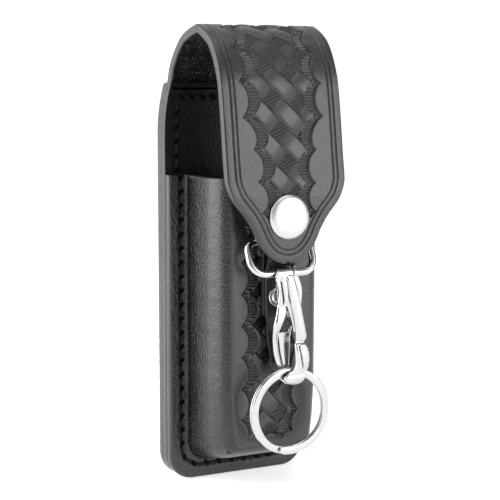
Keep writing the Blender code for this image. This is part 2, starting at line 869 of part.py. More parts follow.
def make_hook_gate(finish):
    """Lever, hub on the pin, and the moving jaw, which steps back behind the ring."""
    plane, eye, length = hook_plane, hook_eye_width / 2, hook_length
    hub, foot = pin_drop - pin_head_radius, pin_drop + pin_head_radius
    rows = [
        (0, -gate_top, -eye * 0.76, eye * 0.04),
        (0, -gate_top - gate_sheet, -eye * 0.86, eye * 0.08),
        (0, -length * 0.228, -eye * 0.86, eye * 0.12),
        (0, -hub, -eye * 0.76, eye * 0.80),
        (0, -foot, -eye * 0.80, eye * 0.80),
        (0, -foot - gate_sheet, -eye * 0.82, -eye * 0.20),
        (plane, -length * 0.530, -eye * 0.84, -eye * 0.24),
        (plane, -length * 0.570, -eye * 0.84, -eye * 0.16),
        (plane, -length * 0.592, -eye * 0.82, eye * 0.48),
        (plane, -length * 0.764, -eye * 0.74, eye * 0.44),
        (plane, -length * 0.886, -eye * 0.50, eye * 0.40),
        (plane, -length * 0.935, -eye * 0.30, eye * 0.34),
        (plane, -gate_tip, -eye * 0.12, eye * 0.24),
    ]
    mesh = strip_mesh("hook_gate", hook_stations(eased_rows(rows, 3), gate_sheet), hook_sheet_edge)
    gate = add_object("hook_gate", mesh, GATE, finish)
    cut_pin_hole(gate)
    back = (d_bow_depth + plane - gate_sheet, d_bow_depth + plane + gate_sheet)
    cut_slit(gate, (-eye * 0.50, -length * 0.66), (-eye * 0.34, -length * 0.84), back)
    return gate


def make_hook_pin(finish):
    """Pivot pin, flush at the front and headed at the rear."""
    centre = (hook_offset + pin_offset, d_bow_height - pin_drop)
    front = d_bow_depth - hook_half_gap - hook_sheet
    rear = d_bow_depth + hook_half_gap + hook_sheet + pin_clearance
    end = rear + pin_head_thickness
    profile = [
        (pin_radius / 8, front), (pin_radius, front), (pin_radius, rear),
        (pin_head_radius, rear), (pin_head_radius * 0.8, end), (pin_radius / 8, end),
    ]
    mesh = solid_turn("hook_pin", profile, centre, 20)
    return add_object("hook_pin", mesh, HOOK, finish)


def make_hook_spring(finish):
    """Torsion spring round the pin, behind the gate's hub, one leg up and one down."""
    centre = Vector((hook_offset + pin_offset, d_bow_height - pin_drop))
    start = d_bow_depth + gate_sheet / 2 + pin_clearance + spring_wire / 2
    steps = 14
    count = round(spring_turns * steps)
    coil = []
    for step in range(count + 1):
        angle = math.pi + 2 * math.pi * spring_turns * step / count
        x = centre.x + spring_coil_radius * math.cos(angle)
        z = centre.y + spring_coil_radius * math.sin(angle)
        coil.append(Vector((x, start + spring_pitch * spring_turns * step / count, z)))
    upper = coil[0] + Vector((0, 0, spring_upper_leg))
    lower = coil[-1] + (coil[-1] - coil[-2]).normalized() * spring_lower_leg
    points = [upper] + coil + [lower]
    apart = steps // 2
    least = min(
        (a - b).length for i, a in enumerate(points) for b in points[i + apart:]
    ) - spring_wire
    print("least gap between the spring's turns, mm:", round(least * 1000, 3))
    mesh = tube_mesh("hook_spring", points, spring_wire / 2, sides=8)
    return add_object("hook_spring", mesh, HOOK, finish)


def make_split_ring(finish):
    """Flat coil of nearly two turns, which crosses from one face to the other in a short jog."""
    radius = (key_ring_diameter - key_ring_band) / 2
    wire = (key_ring_depth - key_ring_turn_gap) / 2
    shift = (wire + key_ring_turn_gap) / 2
    centre = Vector((hook_offset + key_ring_offset, d_bow_depth, ring_centre_height()))
    count = 84
    band, half, cut = key_ring_band / 2, wire / 2, wire / 4
    rings = []
    for step in range(count + 1):
        share = step / count
        angle = 2 * math.pi * (key_ring_turns * share - 0.30)
        place = (share - 0.5) / key_ring_jog_share + 0.5
        place = min(max(place, 0), 1)
        side = shift * (2 * place * place * (3 - 2 * place) - 1)
        outline = (
            (-band + cut, side - half), (band - cut, side - half), (band, side + cut - half),
            (band, side + half - cut), (band - cut, side + half), (-band + cut, side + half),
            (-band, side + half - cut), (-band, side + cut - half),
        )
        rings.append([
            centre + Vector(((radius + r) * math.cos(angle), y, (radius + r) * math.sin(angle)))
            for r, y in outline
        ])
    gap = key_ring_depth - 2 * wire
    print("least gap between the key ring's turns, mm:", round(gap * 1000, 3))
    return add_object("split_ring", loft_mesh("split_ring", rings), KEY_RING, finish)


def ring_centre_height():
    return d_bow_height - key_ring_drop - (key_ring_diameter - key_ring_band) / 2


clear_scene()
PARTS = make_collection("belt_case")
CUTTERS = make_collection("cutters")
CASE = empty("case_frame", (0, -tunnel_centre_depth, -tunnel_centre_height))
hinge_y, hinge_z = path_at(hinge_depth())
FLAP = empty("flap_hinge", (0, hinge_y, hinge_z + flap_thickness / 2), CASE)
D_RING = empty("d_ring_pivot", (0, d_bar_depth, d_bar_height), CASE)
HOOK = empty("hook_pivot", (hook_offset, -d_bow_lean, -d_bow_drop), D_RING)
GATE = empty("gate_pivot", (pin_offset, 0, -pin_drop), HOOK)
KEY_RING = empty("key_ring_pivot", (key_ring_offset, 0, -key_ring_drop), HOOK)

leather = material("black_leather", LEATHER, 0.35, 0)
chrome = material("chrome", CHROME, 0.12, 1)
nickel = material("nickel", NICKEL, 0.25, 1)

make_back_panel(leather)
make_rear_panel(leather)
make_belt_loop(leather)
make_case_body(leather)
make_flap_root(leather)
make_flap_front(leather)
make_snap_cap(nickel)
make_snap_socket(nickel)
make_snap_stud(nickel)
make_snap_post(nickel)
make_ring_tab(leather)
make_tab_rivet(nickel)
make_rivet_burr(nickel)
make_d_ring(chrome)
make_hook_frame(chrome)
make_hook_gate(chrome)
make_hook_pin(chrome)
make_hook_spring(chrome)
make_split_ring(chrome)
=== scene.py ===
"""Looks of the leather belt case with its snap hook and key ring.

Shapes are drawn in millimetres in the case frame: x from the middle, y from the front face of
the back panel (the front of the case is at -y), z up from the bottom edge.
"""
import math

import bmesh
import bpy
import numpy as np
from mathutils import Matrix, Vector


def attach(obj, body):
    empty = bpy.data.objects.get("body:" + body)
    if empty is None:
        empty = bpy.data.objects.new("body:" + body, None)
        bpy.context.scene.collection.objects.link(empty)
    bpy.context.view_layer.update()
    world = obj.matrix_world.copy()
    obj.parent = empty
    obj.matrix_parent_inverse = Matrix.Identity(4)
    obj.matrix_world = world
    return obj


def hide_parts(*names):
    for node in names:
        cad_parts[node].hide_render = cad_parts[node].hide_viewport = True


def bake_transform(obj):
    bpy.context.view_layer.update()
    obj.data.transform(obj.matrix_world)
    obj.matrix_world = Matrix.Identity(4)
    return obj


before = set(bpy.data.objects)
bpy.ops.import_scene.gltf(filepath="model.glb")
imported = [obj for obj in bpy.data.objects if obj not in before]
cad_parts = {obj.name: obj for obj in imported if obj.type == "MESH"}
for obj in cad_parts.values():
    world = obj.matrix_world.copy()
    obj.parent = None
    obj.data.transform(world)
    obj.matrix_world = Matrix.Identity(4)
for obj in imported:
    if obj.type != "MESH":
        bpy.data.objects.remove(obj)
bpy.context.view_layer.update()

MM = .001
SHIFT = np.array((0.0, 9.7, 97.0))

# Sizes that the solids also have
FLAP_SIDE, FLAP_ROOT_SIDE, FLAP_THICK = 22.4, 24.0, 3.2
ROOT_Y, FRONT_Y, BACK_TOP, ARCH = 3.2, -39.0, 141.0, 17.5
SHOULDER_Z, TIP_Z, MOUTH_Z = 110.5, 80.8, 109.0
SNAP_Z, RIVET_Z = 96.5, 68.6
BODY_FRONT = -28.6
ARCH_SHARES = [
    (0, 0), (.047, .32), (.137, .62), (.246, .85), (.419, 1), (.519, 1), (.711, .72), (.841, .18),
    (.896, -.39), (.948, -1.31), (.968, -1.62), (.992, -1.96), (1, -2.16),
]
TIP_SHARES = [
    (1, 0), (.99, .084), (.95, .185), (.87, .306), (.69, .471), (.57, .613), (.49, .741),
    (.39, .855), (.27, .939), (.14, .987), (.04, 1),
]

TINY = 1e-12  # keeps a division by a length of 0 from failing


# ---- small tools
def row_frame(points):
    """Case frame in millimetres to the row frame in metres."""
    return (np.asarray(points, float) - SHIFT) * MM


def smoothstep(low, high, value):
    """0 up to low and 1 from high on, with a soft change between them."""
    t = np.clip((value - low) / (high - low), 0, 1)
    return t * t * (3 - 2 * t)


def bell(value, at, width):
    """1 at a place, falling to 0 on both sides of it."""
    return np.exp(-((value - at) / width) ** 2)


def spline(points, steps):
    """Points of a Catmull-Rom curve."""
    p = [np.array(q, float) for q in points]
    p = [2 * p[0] - p[1]] + p + [2 * p[-1] - p[-2]]
    made = []
    for a, b, c, d in zip(p, p[1:], p[2:], p[3:]):
        for k in range(steps):
            t = k / steps
            made.append((b * 2 + (c - a) * t + (a * 2 - b * 5 + c * 4 - d) * t ** 2
                         + (b * 3 - a - c * 3 + d) * t ** 3) / 2)
    made.append(p[-2])
    return np.array(made)


def distances(points):
    """Distance of each point of a polyline from its start."""
    return np.concatenate([[0], np.cumsum(np.linalg.norm(np.diff(points, axis=0), axis=1))])


def at_lengths(points, at):
    """Points of a polyline at given distances from its start."""
    length = distances(points)
    return np.stack([np.interp(at, length, column) for column in points.T], -1)


def resample(points, step):
    """Points at even distances along a polyline."""
    points = np.asarray(points, float)
    length = distances(points)[-1]
    return at_lengths(points, np.linspace(0, length, max(int(round(length / step)), 2) + 1))


def directions(line, closed=False):
    """Unit directions along a polyline."""
    ahead = np.roll(line, -1, 0) - np.roll(line, 1, 0) if closed else np.gradient(line, axis=0)
    return ahead / (np.linalg.norm(ahead, axis=1)[:, None] + TINY)


def normals(line, closed=False):
    """Unit normals on the right-hand side of a flat polyline."""
    ahead = directions(line, closed)
    return np.stack([ahead[:, 1], -ahead[:, 0]], 1)


def full_turn(steps):
    """Angles of a full turn in even steps."""
    return np.linspace(0, 2 * math.pi, steps, endpoint=False)


def arc(centre, radius, start, end, steps):
    """Points of an arc between two angles in degrees."""
    a = np.radians(np.linspace(start, end, steps + 1))
    return np.stack([centre[0] + radius * np.cos(a), centre[1] + radius * np.sin(a)], 1)


def eased(start, end, low, high, steps):
    """Points (y, z) that go softly from y = start at z = low to y = end at z = high."""
    t = np.linspace(0, 1, steps + 1)[1:]
    return [(start + (end - start) * k * k * (3 - 2 * k), low + (high - low) * k) for k in t]


def at_depth(place, y):
    """Points (x, z) set at one depth y."""
    return np.stack([place[:, 0], np.full(len(place), y), place[:, 1]], 1)


def at_height(place, z):
    """Points (x, y) set at one height z."""
    return np.column_stack([place, np.full(len(place), z)])


def distance_to(x, z, line):
    """Distance of each point of a grid to a polyline."""
    best = np.full(x.shape, 1e9)
    for (ax, az), (bx, bz) in zip(line[:-1], line[1:]):
        dx, dz = bx - ax, bz - az
        t = np.clip(((x - ax) * dx + (z - az) * dz) / (dx * dx + dz * dz + 1e-12), 0, 1)
        best = np.minimum(best, np.hypot(x - ax - t * dx, z - az - t * dz))
    return best


def grid_faces(rows, columns, wrap=False):
    """Quads of a grid of vertices that is stored row by row."""
    i = np.arange(rows - 1)[:, None] * columns
    j = np.arange(columns if wrap else columns - 1)[None, :]
    k = (j + 1) % columns
    return np.stack([i + j, i + k, i + columns + k, i + columns + j], -1).reshape(-1, 4)


def skin(rings):
    """Vertices and faces of the skin round a row of rings, with both ends closed."""
    count = len(rings[0])
    faces = grid_faces(len(rings), count, wrap=True).tolist()
    faces.append(list(range(count))[::-1])
    faces.append([(len(rings) - 1) * count + j for j in range(count)])
    return np.reshape(rings, (-1, 3)), faces


def join(parts):
    """Put several (vertices, faces) into one."""
    verts, faces, start = [], [], 0
    for v, f in parts:
        verts.append(np.asarray(v, float))
        faces += [[int(i) + start for i in g] for g in f]
        start += len(v)
    return np.concatenate(verts), faces


def tube(points, radius, sides, closed=False):
    """A round tube along points; the radius may change along it."""
    points = np.asarray(points, float)
    along = directions(points, closed)
    side = np.cross(along[0], (.3, .2, .93))
    a = full_turn(sides)[:, None]
    rings = []
    for point, ahead, r in zip(points, along, np.broadcast_to(radius, (len(points),))):
        side = side - ahead * side.dot(ahead)
        side /= np.linalg.norm(side)
        rings.append(point + (side * np.cos(a) + np.cross(ahead, side) * np.sin(a)) * r)
    if not closed:
        return skin(rings)
    faces = grid_faces(len(rings), sides, wrap=True).tolist()
    last = (len(rings) - 1) * sides
    # the frame may have turned on its way round, so the last ring is joined by nearest point
    turn = int(np.argmin(np.linalg.norm(rings[0] - rings[-1][0], axis=1)))
    for j in range(sides):
        k = (j + 1) % sides
        faces.append([last + j, last + k, (k + turn) % sides, (j + turn) % sides])
    return np.concatenate(rings), faces


def strap(stations, thick, edge, across):
    """A strap from stations (y, z, half width) with rounded edges."""
    stations = np.asarray(stations, float)
    h, turns = thick / 2, np.radians([0, 22, 45, 68, 90])
    rings = []
    for (y, z, side), n in zip(stations, -normals(stations[:, :2])):
        r = min(edge, h * .95, side * .6)
        half = [(x, h) for x in np.linspace(r - side, side - r, across)]
        half += [(side - r + r * math.sin(a), h - r + r * math.cos(a)) for a in turns[1:]]
        half += [(side - r + r * math.cos(a), r - h - r * math.sin(a)) for a in turns[:-1]]
        ring = half + [(-x, -v) for x, v in half]
        rings.append([(x, y + n[0] * v, z + n[1] * v) for x, v in ring])
    return skin(rings)


def turned(profile, centre, steps):
    """Turn (radius, y) pairs about an axis along y."""
    a = full_turn(steps)
    circle = np.stack([np.cos(a), np.sin(a)], 1)
    rings = [at_depth(centre + r * circle, y) for r, y in profile]
    return np.concatenate(rings), grid_faces(len(rings), steps, wrap=True).tolist()


def add(name, data):
    """A new object in the scene."""
    made = bpy.data.objects.new(name, data)
    bpy.context.scene.collection.objects.link(made)
    return made


def clean(mesh, gap=0.0):
    """Join vertices closer than gap millimetres, turn the faces outwards, shade them smooth."""
    bm = bmesh.new()
    bm.from_mesh(mesh)
    if gap:
        bmesh.ops.remove_doubles(bm, verts=bm.verts, dist=gap * MM)
    bmesh.ops.recalc_face_normals(bm, faces=bm.faces)
    for f in bm.faces:
        f.smooth = True
    bm.to_mesh(mesh)
    bm.free()


def piece(name, shape, *materials, kinds=(), stands_for=(), body="case", slot="leather", gap=0.0):
    """Vertices and faces drawn in the case frame, as a piece that rides on a body.

    kinds gives each face the number of its material, where there are more than one.
    """
    verts, faces = shape
    mesh = bpy.data.meshes.new(name)
    mesh.from_pydata(row_frame(verts).tolist(), [], [list(map(int, f)) for f in faces])
    for material in materials:
        mesh.materials.append(material)
    if len(kinds):
        mesh.polygons.foreach_set("material_index", kinds)
    clean(mesh, gap)
    made = add(name, mesh)
    if body:
        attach(made, body)
    if stands_for:
        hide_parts(*stands_for)
    return made


def mark_tooling(made, width, *masks):
    """Store the masks of the tooling per vertex for the material, 0 off the tooled face.

    The masks are ribbed, hatched and depth; a row of them is filled up to width vertices.
    """
    for name, mask in zip(("ribbed", "hatched", "depth"), masks):
        filled = np.pad(mask, ((0, 0), (0, width - mask.shape[1]))).reshape(-1)
        values = np.zeros(len(made.data.vertices))
        values[:len(filled)] = filled
        layer = made.data.attributes.new(name, "FLOAT", "POINT")
        layer.data.foreach_set("value", values)


# ---- materials
WAVE_UNIT = .314  # scale at which a wave texture has one ridge in each unit


def feed(tree, made, inputs):
    """Set the inputs of a node, or link them where another node's output is given."""
    for key, value in inputs.items():
        if isinstance(value, bpy.types.NodeSocket):
            tree.links.new(value, made.inputs[key])
        else:
            made.inputs[key].default_value = value


def node(tree, kind, inputs):
    """A new node with its inputs fed."""
    made = tree.nodes.new("ShaderNode" + kind)
    feed(tree, made, inputs)
    return made


def material(name, looks, *values, **options):
    """A material whose shader is fed by looks, from the tree and the object's coordinates."""
    made = bpy.data.materials.new(name)
    made.use_nodes = True
    tree = made.node_tree
    where = node(tree, "TexCoord", {}).outputs["Object"]
    feed(tree, tree.nodes["Principled BSDF"], looks(tree, where, *values, **options))
    return made


def scaled(tree, where, size_mm, stretch=(1, 1, 1), heading=0):
    """Coordinates whose unit is size_mm, turned about y by a heading in degrees."""
    return node(tree, "Mapping", {
        "Vector": where, "Rotation": (0, math.radians(heading), 0),
        "Scale": [s / (size_mm * MM) for s in stretch],
    }).outputs["Vector"]


def noise(tree, where, size_mm, detail=3.0, rough=.55, stretch=(1, 1, 1)):
    """Noise whose features are about size_mm wide."""
    return node(tree, "TexNoise", {
        "Vector": scaled(tree, where, size_mm, stretch), "Scale": 1.0, "Detail": detail,
        "Roughness": rough,
    }).outputs["Fac"]


def cells(tree, where, size_mm):
    """Distance from the middles of rounded cells about size_mm wide."""
    made = node(tree, "TexVoronoi", {"Vector": scaled(tree, where, size_mm), "Scale": 1.0})
    made.feature = "SMOOTH_F1"
    return made.outputs["Distance"]


def lines(tree, where, pitch_mm, heading):
    """Parallel ridges in the x-z plane, 0 to 1, that run across a heading in degrees."""
    across = scaled(tree, where, pitch_mm, heading=heading)
    return node(tree, "TexWave", {"Vector": across, "Scale": WAVE_UNIT}).outputs["Fac"]


def ramp(tree, value, low, high, dark, pale):
    """Colour that goes from dark to pale as a value goes from low to high."""
    made = node(tree, "ValToRGB", {"Fac": value})
    for stop, place, colour in zip(made.color_ramp.elements, (low, high), (dark, pale)):
        stop.position, stop.color = place, (*colour, 1)
    return made.outputs["Color"]


def spread(tree, value, low, high):
    """Stretch the middle half of a 0 to 1 value to a range."""
    return node(tree, "MapRange", {
        "Value": value, "From Min": .25, "From Max": .75, "To Min": low, "To Max": high,
    }).outputs["Result"]


def bump(tree, layers):
    """Normal with stacked bumps, given as (height output, strength, distance in mm)."""
    last = {}
    for height, strength, depth in layers:
        made = node(tree, "Bump", {
            "Height": height, "Strength": strength, "Distance": depth * MM, **last})
        last = {"Normal": made.outputs["Normal"]}
    return last["Normal"]


def combine(tree, one, two, operation="MULTIPLY"):
    """Product of two values, or the result of another operation on them."""
    made = node(tree, "Math", {0: one, 1: two})
    made.operation = operation
    return made.outputs[0]


def tool_marks(tree, where):
    """Heights of the ribs and hatching in the basket weave, and how deep the leather lies."""
    marks = []
    for name in ("ribbed", "hatched", "depth"):
        made = node(tree, "Attribute", {})
        made.attribute_name = name
        marks.append(made.outputs["Fac"])
    ribs = combine(tree, lines(tree, where, .45, 78), marks[0])
    cross = combine(tree, lines(tree, where, .62, 45), lines(tree, where, .62, -45))
    return ribs, combine(tree, cross, marks[1]), marks[2]


def leather(tree, where, dark, pale, rough, grain=.5, wrinkle=.3, level=.5,
            stretch=(1, 1, 1), deep=1.0, tools=False):
    """Dyed leather with grain, pores and wrinkles; tools adds the marks of the basket weave."""
    broad, fine = noise(tree, where, 9.0), noise(tree, where, .9, 3.0, .6, stretch)
    tint = node(tree, "Mix", {0: .55, 2: broad, 3: fine}).outputs[0]
    roughness = spread(tree, fine, rough - .05, rough + .09)
    creases = noise(tree, where, 2.2, 5.0, .62, stretch)
    layers = [(creases, wrinkle, .25 * deep), (cells(tree, where, .8), grain, .14 * deep),
              (fine, grain, .22 * deep)]
    if tools:
        ribs, hatch, depth = tool_marks(tree, where)
        roughness = combine(tree, roughness, combine(tree, depth, .07), "ADD")
        layers += [(ribs, .5, .10), (hatch, 1.0, .15)]
    return {
        "Base Color": ramp(tree, tint, .38, .66, dark, pale), "Roughness": roughness,
        "Specular IOR Level": level, "Normal": bump(tree, layers)}


def flesh(tree, where):
    """Rough inner side of the leather, with pale fibres standing out of it."""
    broad, fibre = noise(tree, where, 5.0), noise(tree, where, .45, 6.0, .7)
    fuzz = noise(tree, where, .7, 3.0, .6)
    specks = combine(tree, combine(tree, broad, .35), fuzz, "ADD")
    dark, pale = (.0018, .0018, .0019), (.14, .14, .145)
    return {
        "Base Color": ramp(tree, specks, .71, .80, dark, pale),
        "Roughness": spread(tree, fibre, .34, .7), "Specular IOR Level": .16,
        "Normal": bump(tree, [(cells(tree, where, 1.3), 1.0, 1.1), (fibre, 1.0, .8)])}


def edge(tree, where):
    """Cut edge of the leather, burnished and dyed, with its layers' fibres along it."""
    fibre = noise(tree, where, .5, 5.0, .65, (1, 1.6, .35))
    dark, pale = (.008, .008, .009), (.022, .022, .023)
    return {
        "Base Color": ramp(tree, noise(tree, where, 6.0), .3, .7, dark, pale),
        "Roughness": spread(tree, fibre, .24, .42), "Specular IOR Level": .75,
        "Normal": bump(tree, [(fibre, .6, .14)])}


def metal(tree, where, colour, rough, scratch):
    """Plated metal with a little wear."""
    broad, fine = noise(tree, where, 4.0), noise(tree, where, .25, 3.0, .6, (.25, 1, 1))
    dull = tuple(c * .96 for c in colour)
    return {
        "Metallic": 1.0, "Base Color": ramp(tree, broad, .3, .7, dull, colour),
        "Roughness": spread(tree, fine, rough * .8, rough * 1.3),
        "Normal": bump(tree, [(broad, scratch, .05), (fine, scratch, .006)])}


def thread(tree, where):
    """Waxed black thread, its twist as slanting strands."""
    strands = node(tree, "TexWave", {"Vector": where, "Scale": 1 / (1.1 * MM), "Distortion": .6})
    fluff = noise(tree, where, .2)
    return {
        "Base Color": ramp(tree, fluff, .3, .7, (.003, .003, .003), (.010, .010, .011)),
        "Roughness": spread(tree, fluff, .45, .65), "Specular IOR Level": .3,
        "Normal": bump(tree, [(strands.outputs["Fac"], .7, .12), (fluff, .4, .04)])}


GRAIN = material("grain_leather", leather, (.012, .012, .013), (.026, .026, .027), .31,
                 grain=.4, wrinkle=.25, level=.75, tools=True)
SMOOTH = material("moulded_leather", leather, (.004, .004, .005), (.012, .012, .013), .21,
                  grain=.8, wrinkle=.5, level=.62)
BACKING = material("back_leather", leather, (.005, .005, .006), (.013, .013, .014), .36,
                   grain=.9, wrinkle=.7, level=.4)
STRAP = material("strap_leather", leather, (.008, .008, .009), (.018, .018, .019), .36,
                 grain=.7, wrinkle=.5)
FLANGE = material("sewn_flange", leather, (.004, .004, .005), (.024, .024, .025), .34,
                  grain=.9, wrinkle=1.0, level=.7, stretch=(1, 1, .45), deep=2.2)
FLESH = material("flesh_side", flesh)
EDGE = material("burnished_edge", edge)
THREAD = material("waxed_thread", thread)
CHROME = material("chrome_plate", metal, (.58, .585, .59), .15, .02)
NICKEL = material("nickel_plate", metal, (.74, .74, .73), .27, .012)
SATIN = material("satin_nickel", metal, (.62, .62, .61), .34, .008)
# painted shade: near-black metal that stands for the shade at the bottom of the hook's slits and
# in the gaps beside its ridges
SLIT_SHADE = material("painted_slit_shade", metal, (.035, .035, .037), .55, .05)
# painted shade: near-black leather that stands for the shade inside the awl holes
HOLE_SHADE = material("painted_hole_shade", leather, (.002, .002, .002), (.004, .004, .004), .8,
                grain=.4, wrinkle=.2, level=.1)


# ---- tooling
BAR_RUN, BAR_LENGTH, ROW_PITCH, ROW_SHIFT = 17.3, 13.1, 6.11, 9.15
ALONG, ACROSS = np.array((.704, -.710)), np.array((-.710, -.704))
SAG, HORN, RIB = 2.8, 3.2, .95
GROUND, SQUARE_GROUND = -.62, -.70


def weave(x, z, anchor):
    """Basket weave pressed into the leather over a grid of x and z.

    Gives its height in mm and the masks of the ribbed squares and of the hatched bar ends.
    """
    px, pz = x - anchor[0], z - anchor[1]
    a, b = px * ALONG[0] + pz * ALONG[1], px * ACROSS[0] + pz * ACROSS[1]
    row = np.floor(b / ROW_PITCH)
    b = b - row * ROW_PITCH
    a = np.mod(a - row * ROW_SHIFT, BAR_RUN)
    end = np.minimum(a, BAR_LENGTH - a)
    side = np.minimum(b, ROW_PITCH - b)
    # bar: pillowed, its sides falling into a groove and its ends sloping under the next row
    bar = GROUND + .34 * smoothstep(0.0, 3.4, end) + .30 * smoothstep(.05, .75, side)
    bar += .10 * np.sin(np.pi * b / ROW_PITCH)
    rim = bell(end, .55, .16) * .16 - bell(end, .10, .20) * .22
    bar += rim * smoothstep(.2, .5, side)
    # square between bars: deep, with steep ribs
    c = a - BAR_LENGTH
    inset = np.minimum(np.minimum(c, BAR_RUN - a), side)
    ribs = .27 * np.sin(2 * np.pi * (c * .83 + b * .308) / .98)
    square = SQUARE_GROUND + ribs * smoothstep(0.0, .35, inset)
    hatched = smoothstep(.4, .9, end) * (1 - smoothstep(1.4, 5.4, end))
    hatched *= smoothstep(.15, .5, side)
    on_bar = c < 0
    return (np.where(on_bar, bar, square), np.where(on_bar, 0.0, smoothstep(0.0, .45, inset)),
            np.where(on_bar, hatched, 0.0))


def crescents(x, z, tips, sign):
    """Row of ribbed crescents along one side of the weave.

    tips are (x, z) of the horns on the plain side, from the top down; sign is +1 when the
    weave lies on the +x side. Gives the height, the masks of the plain leather before the row
    and of the weave past it, and the height of the lip on the plain side.
    """
    tx, tz = np.array(tips[::-1]).T
    k = np.clip(np.searchsorted(tz, z) - 1, 0, len(tz) - 2)
    z0, z1, x0, x1 = tz[k], tz[k + 1], tx[k], tx[k + 1]
    half = (z1 - z0) / 2
    t = np.clip((z - (z0 + z1) / 2) / half, -1, 1)
    chord = x0 + (x1 - x0) * (t + 1) / 2
    radius = (half ** 2 + SAG ** 2) / (2 * SAG)
    rise = np.sqrt(np.maximum(radius ** 2 - (half * t) ** 2, 0)) - (radius - SAG)
    width = HORN + .9 * (1 - t * t)
    u = (x - chord) * sign - rise
    w = u / width
    fan = half * t * (1 - .36 * np.clip(w, 0, 1) * t * t)
    ribs = np.cos(2 * np.pi * fan / RIB) * smoothstep(.02, .16, w) * (
        1 - smoothstep(.84, .97, w))
    height = GROUND + .30 * np.clip(w, 0, 1) + .24 * ribs
    height += .14 * bell(w, .97, .05) - .38 * bell(w, .03, .06)
    height *= smoothstep(-.02, .05, w) * (1 - smoothstep(.97, 1.02, w))
    return height, u < 0, w >= 1.0, np.where(u < 0, -.05 * bell(u, 0, .35), 0)


def tooled(x, z, left_tips, right_tips, anchor, fade, foot_tips=None):
    """Height of the tooled band, 0 on the plain leather beside it, and the masks of its marks.

    fade is 0 where the band has ended, and foot_tips are a row of crescents below the weave.
    """
    left, right = crescents(x, z, left_tips, 1), crescents(x, z, right_tips, -1)
    woven, ribbed, hatched = weave(x, z, anchor)
    inner = left[2] & right[2]
    foot, plain_foot, past_foot = 0.0, np.zeros_like(inner), np.ones_like(inner)
    if foot_tips:
        foot, plain_foot, past_foot, _ = crescents(z, x, foot_tips, 1)
    plain = left[1] | right[1] | plain_foot
    band = inner & past_foot
    height = np.where(band, woven, 0.0)
    for row, _, past, lip in (left, right):
        height = np.where(~plain & ~past, row, height + lip)
    height = np.where(inner & ~past_foot, np.where(plain_foot, 0.0, foot), height)
    return height * fade, ribbed * fade * band, hatched * fade * band


# ---- flap
def flap_centre():
    """Centre line (y, z) of the flap from its root over the arch to the tip."""
    depth = ROOT_Y - FRONT_Y
    arch = spline([(ROOT_Y - depth * a, BACK_TOP + ARCH * b) for a, b in ARCH_SHARES], 16)
    low = np.array([(ROOT_Y, BACK_TOP - .1 * k) for k in (8, 4)])
    line = np.concatenate([low, arch, [(FRONT_Y, TIP_Z - 1.0)]])
    return resample(line, .2)


CENTRE = flap_centre()
OUTWARD = normals(CENTRE)
RUN = distances(CENTRE + OUTWARD * FLAP_THICK / 2)
ZETA = TIP_Z - 1.0 + RUN[-1] - RUN
EDGE_LINES, LINE_DEEP, LINE_WIDE = (3.0, 4.7), .36, .17
WEAVE_LOW = 96.0


def on_flap(x, zeta, depth):
    """Point of the flap: x across, zeta up its outer face from the tip, depth off its middle."""
    cy, cz, ny, nz = (np.interp(zeta, ZETA[::-1], v[::-1]) for v in (*CENTRE.T, *OUTWARD.T))
    size = np.hypot(ny, nz)
    return np.stack([x, cy + depth * ny / size, cz + depth * nz / size], -1)


def flap_half_outline():
    """Right half of the flap's outline as (x, zeta), from the tip up to the root."""
    drop = SHOULDER_Z - TIP_Z
    tip = spline([(FLAP_SIDE * w, SHOULDER_Z - drop * d) for w, d in TIP_SHARES], 12)[::-1]
    zeta = np.linspace(SHOULDER_Z, ZETA[0], 300)[1:]
    y = on_flap(0 * zeta, zeta, 0 * zeta)[:, 1]
    share = np.clip((ROOT_Y - y) / (ROOT_Y - FRONT_Y), 0, 1)
    side = FLAP_ROOT_SIDE + (FLAP_SIDE - FLAP_ROOT_SIDE) * share * (2 - share)
    # narrow to the solid's own width where the outline leaves the shoulder
    side = side + (FLAP_SIDE - side[0]) * np.exp(-(zeta - SHOULDER_Z) / 6.0)
    return resample(np.concatenate([tip, np.stack([side, zeta], 1)]), .19)


LEFT_TIPS = [
    (-15.8, 200.6), (-15.8, 189), (-15.7, 177.4), (-15.6, 165.6), (-15.6, 153.8), (-15.7, 142.0),
    (-15.4, 129.9), (-11.9, 119.4), (-11.1, 108.5), (-9.9, 98.0), (-9.0, 88.0),
]
RIGHT_TIPS = [
    (15.8, 197.5), (15.7, 186), (15.6, 174.5), (15.5, 163.2), (15.4, 152.0), (15.3, 141.5),
    (15.1, 130.1), (11.6, 118.8), (10.6, 107.6), (10.6, 97.9), (9.4, 88.0),
]


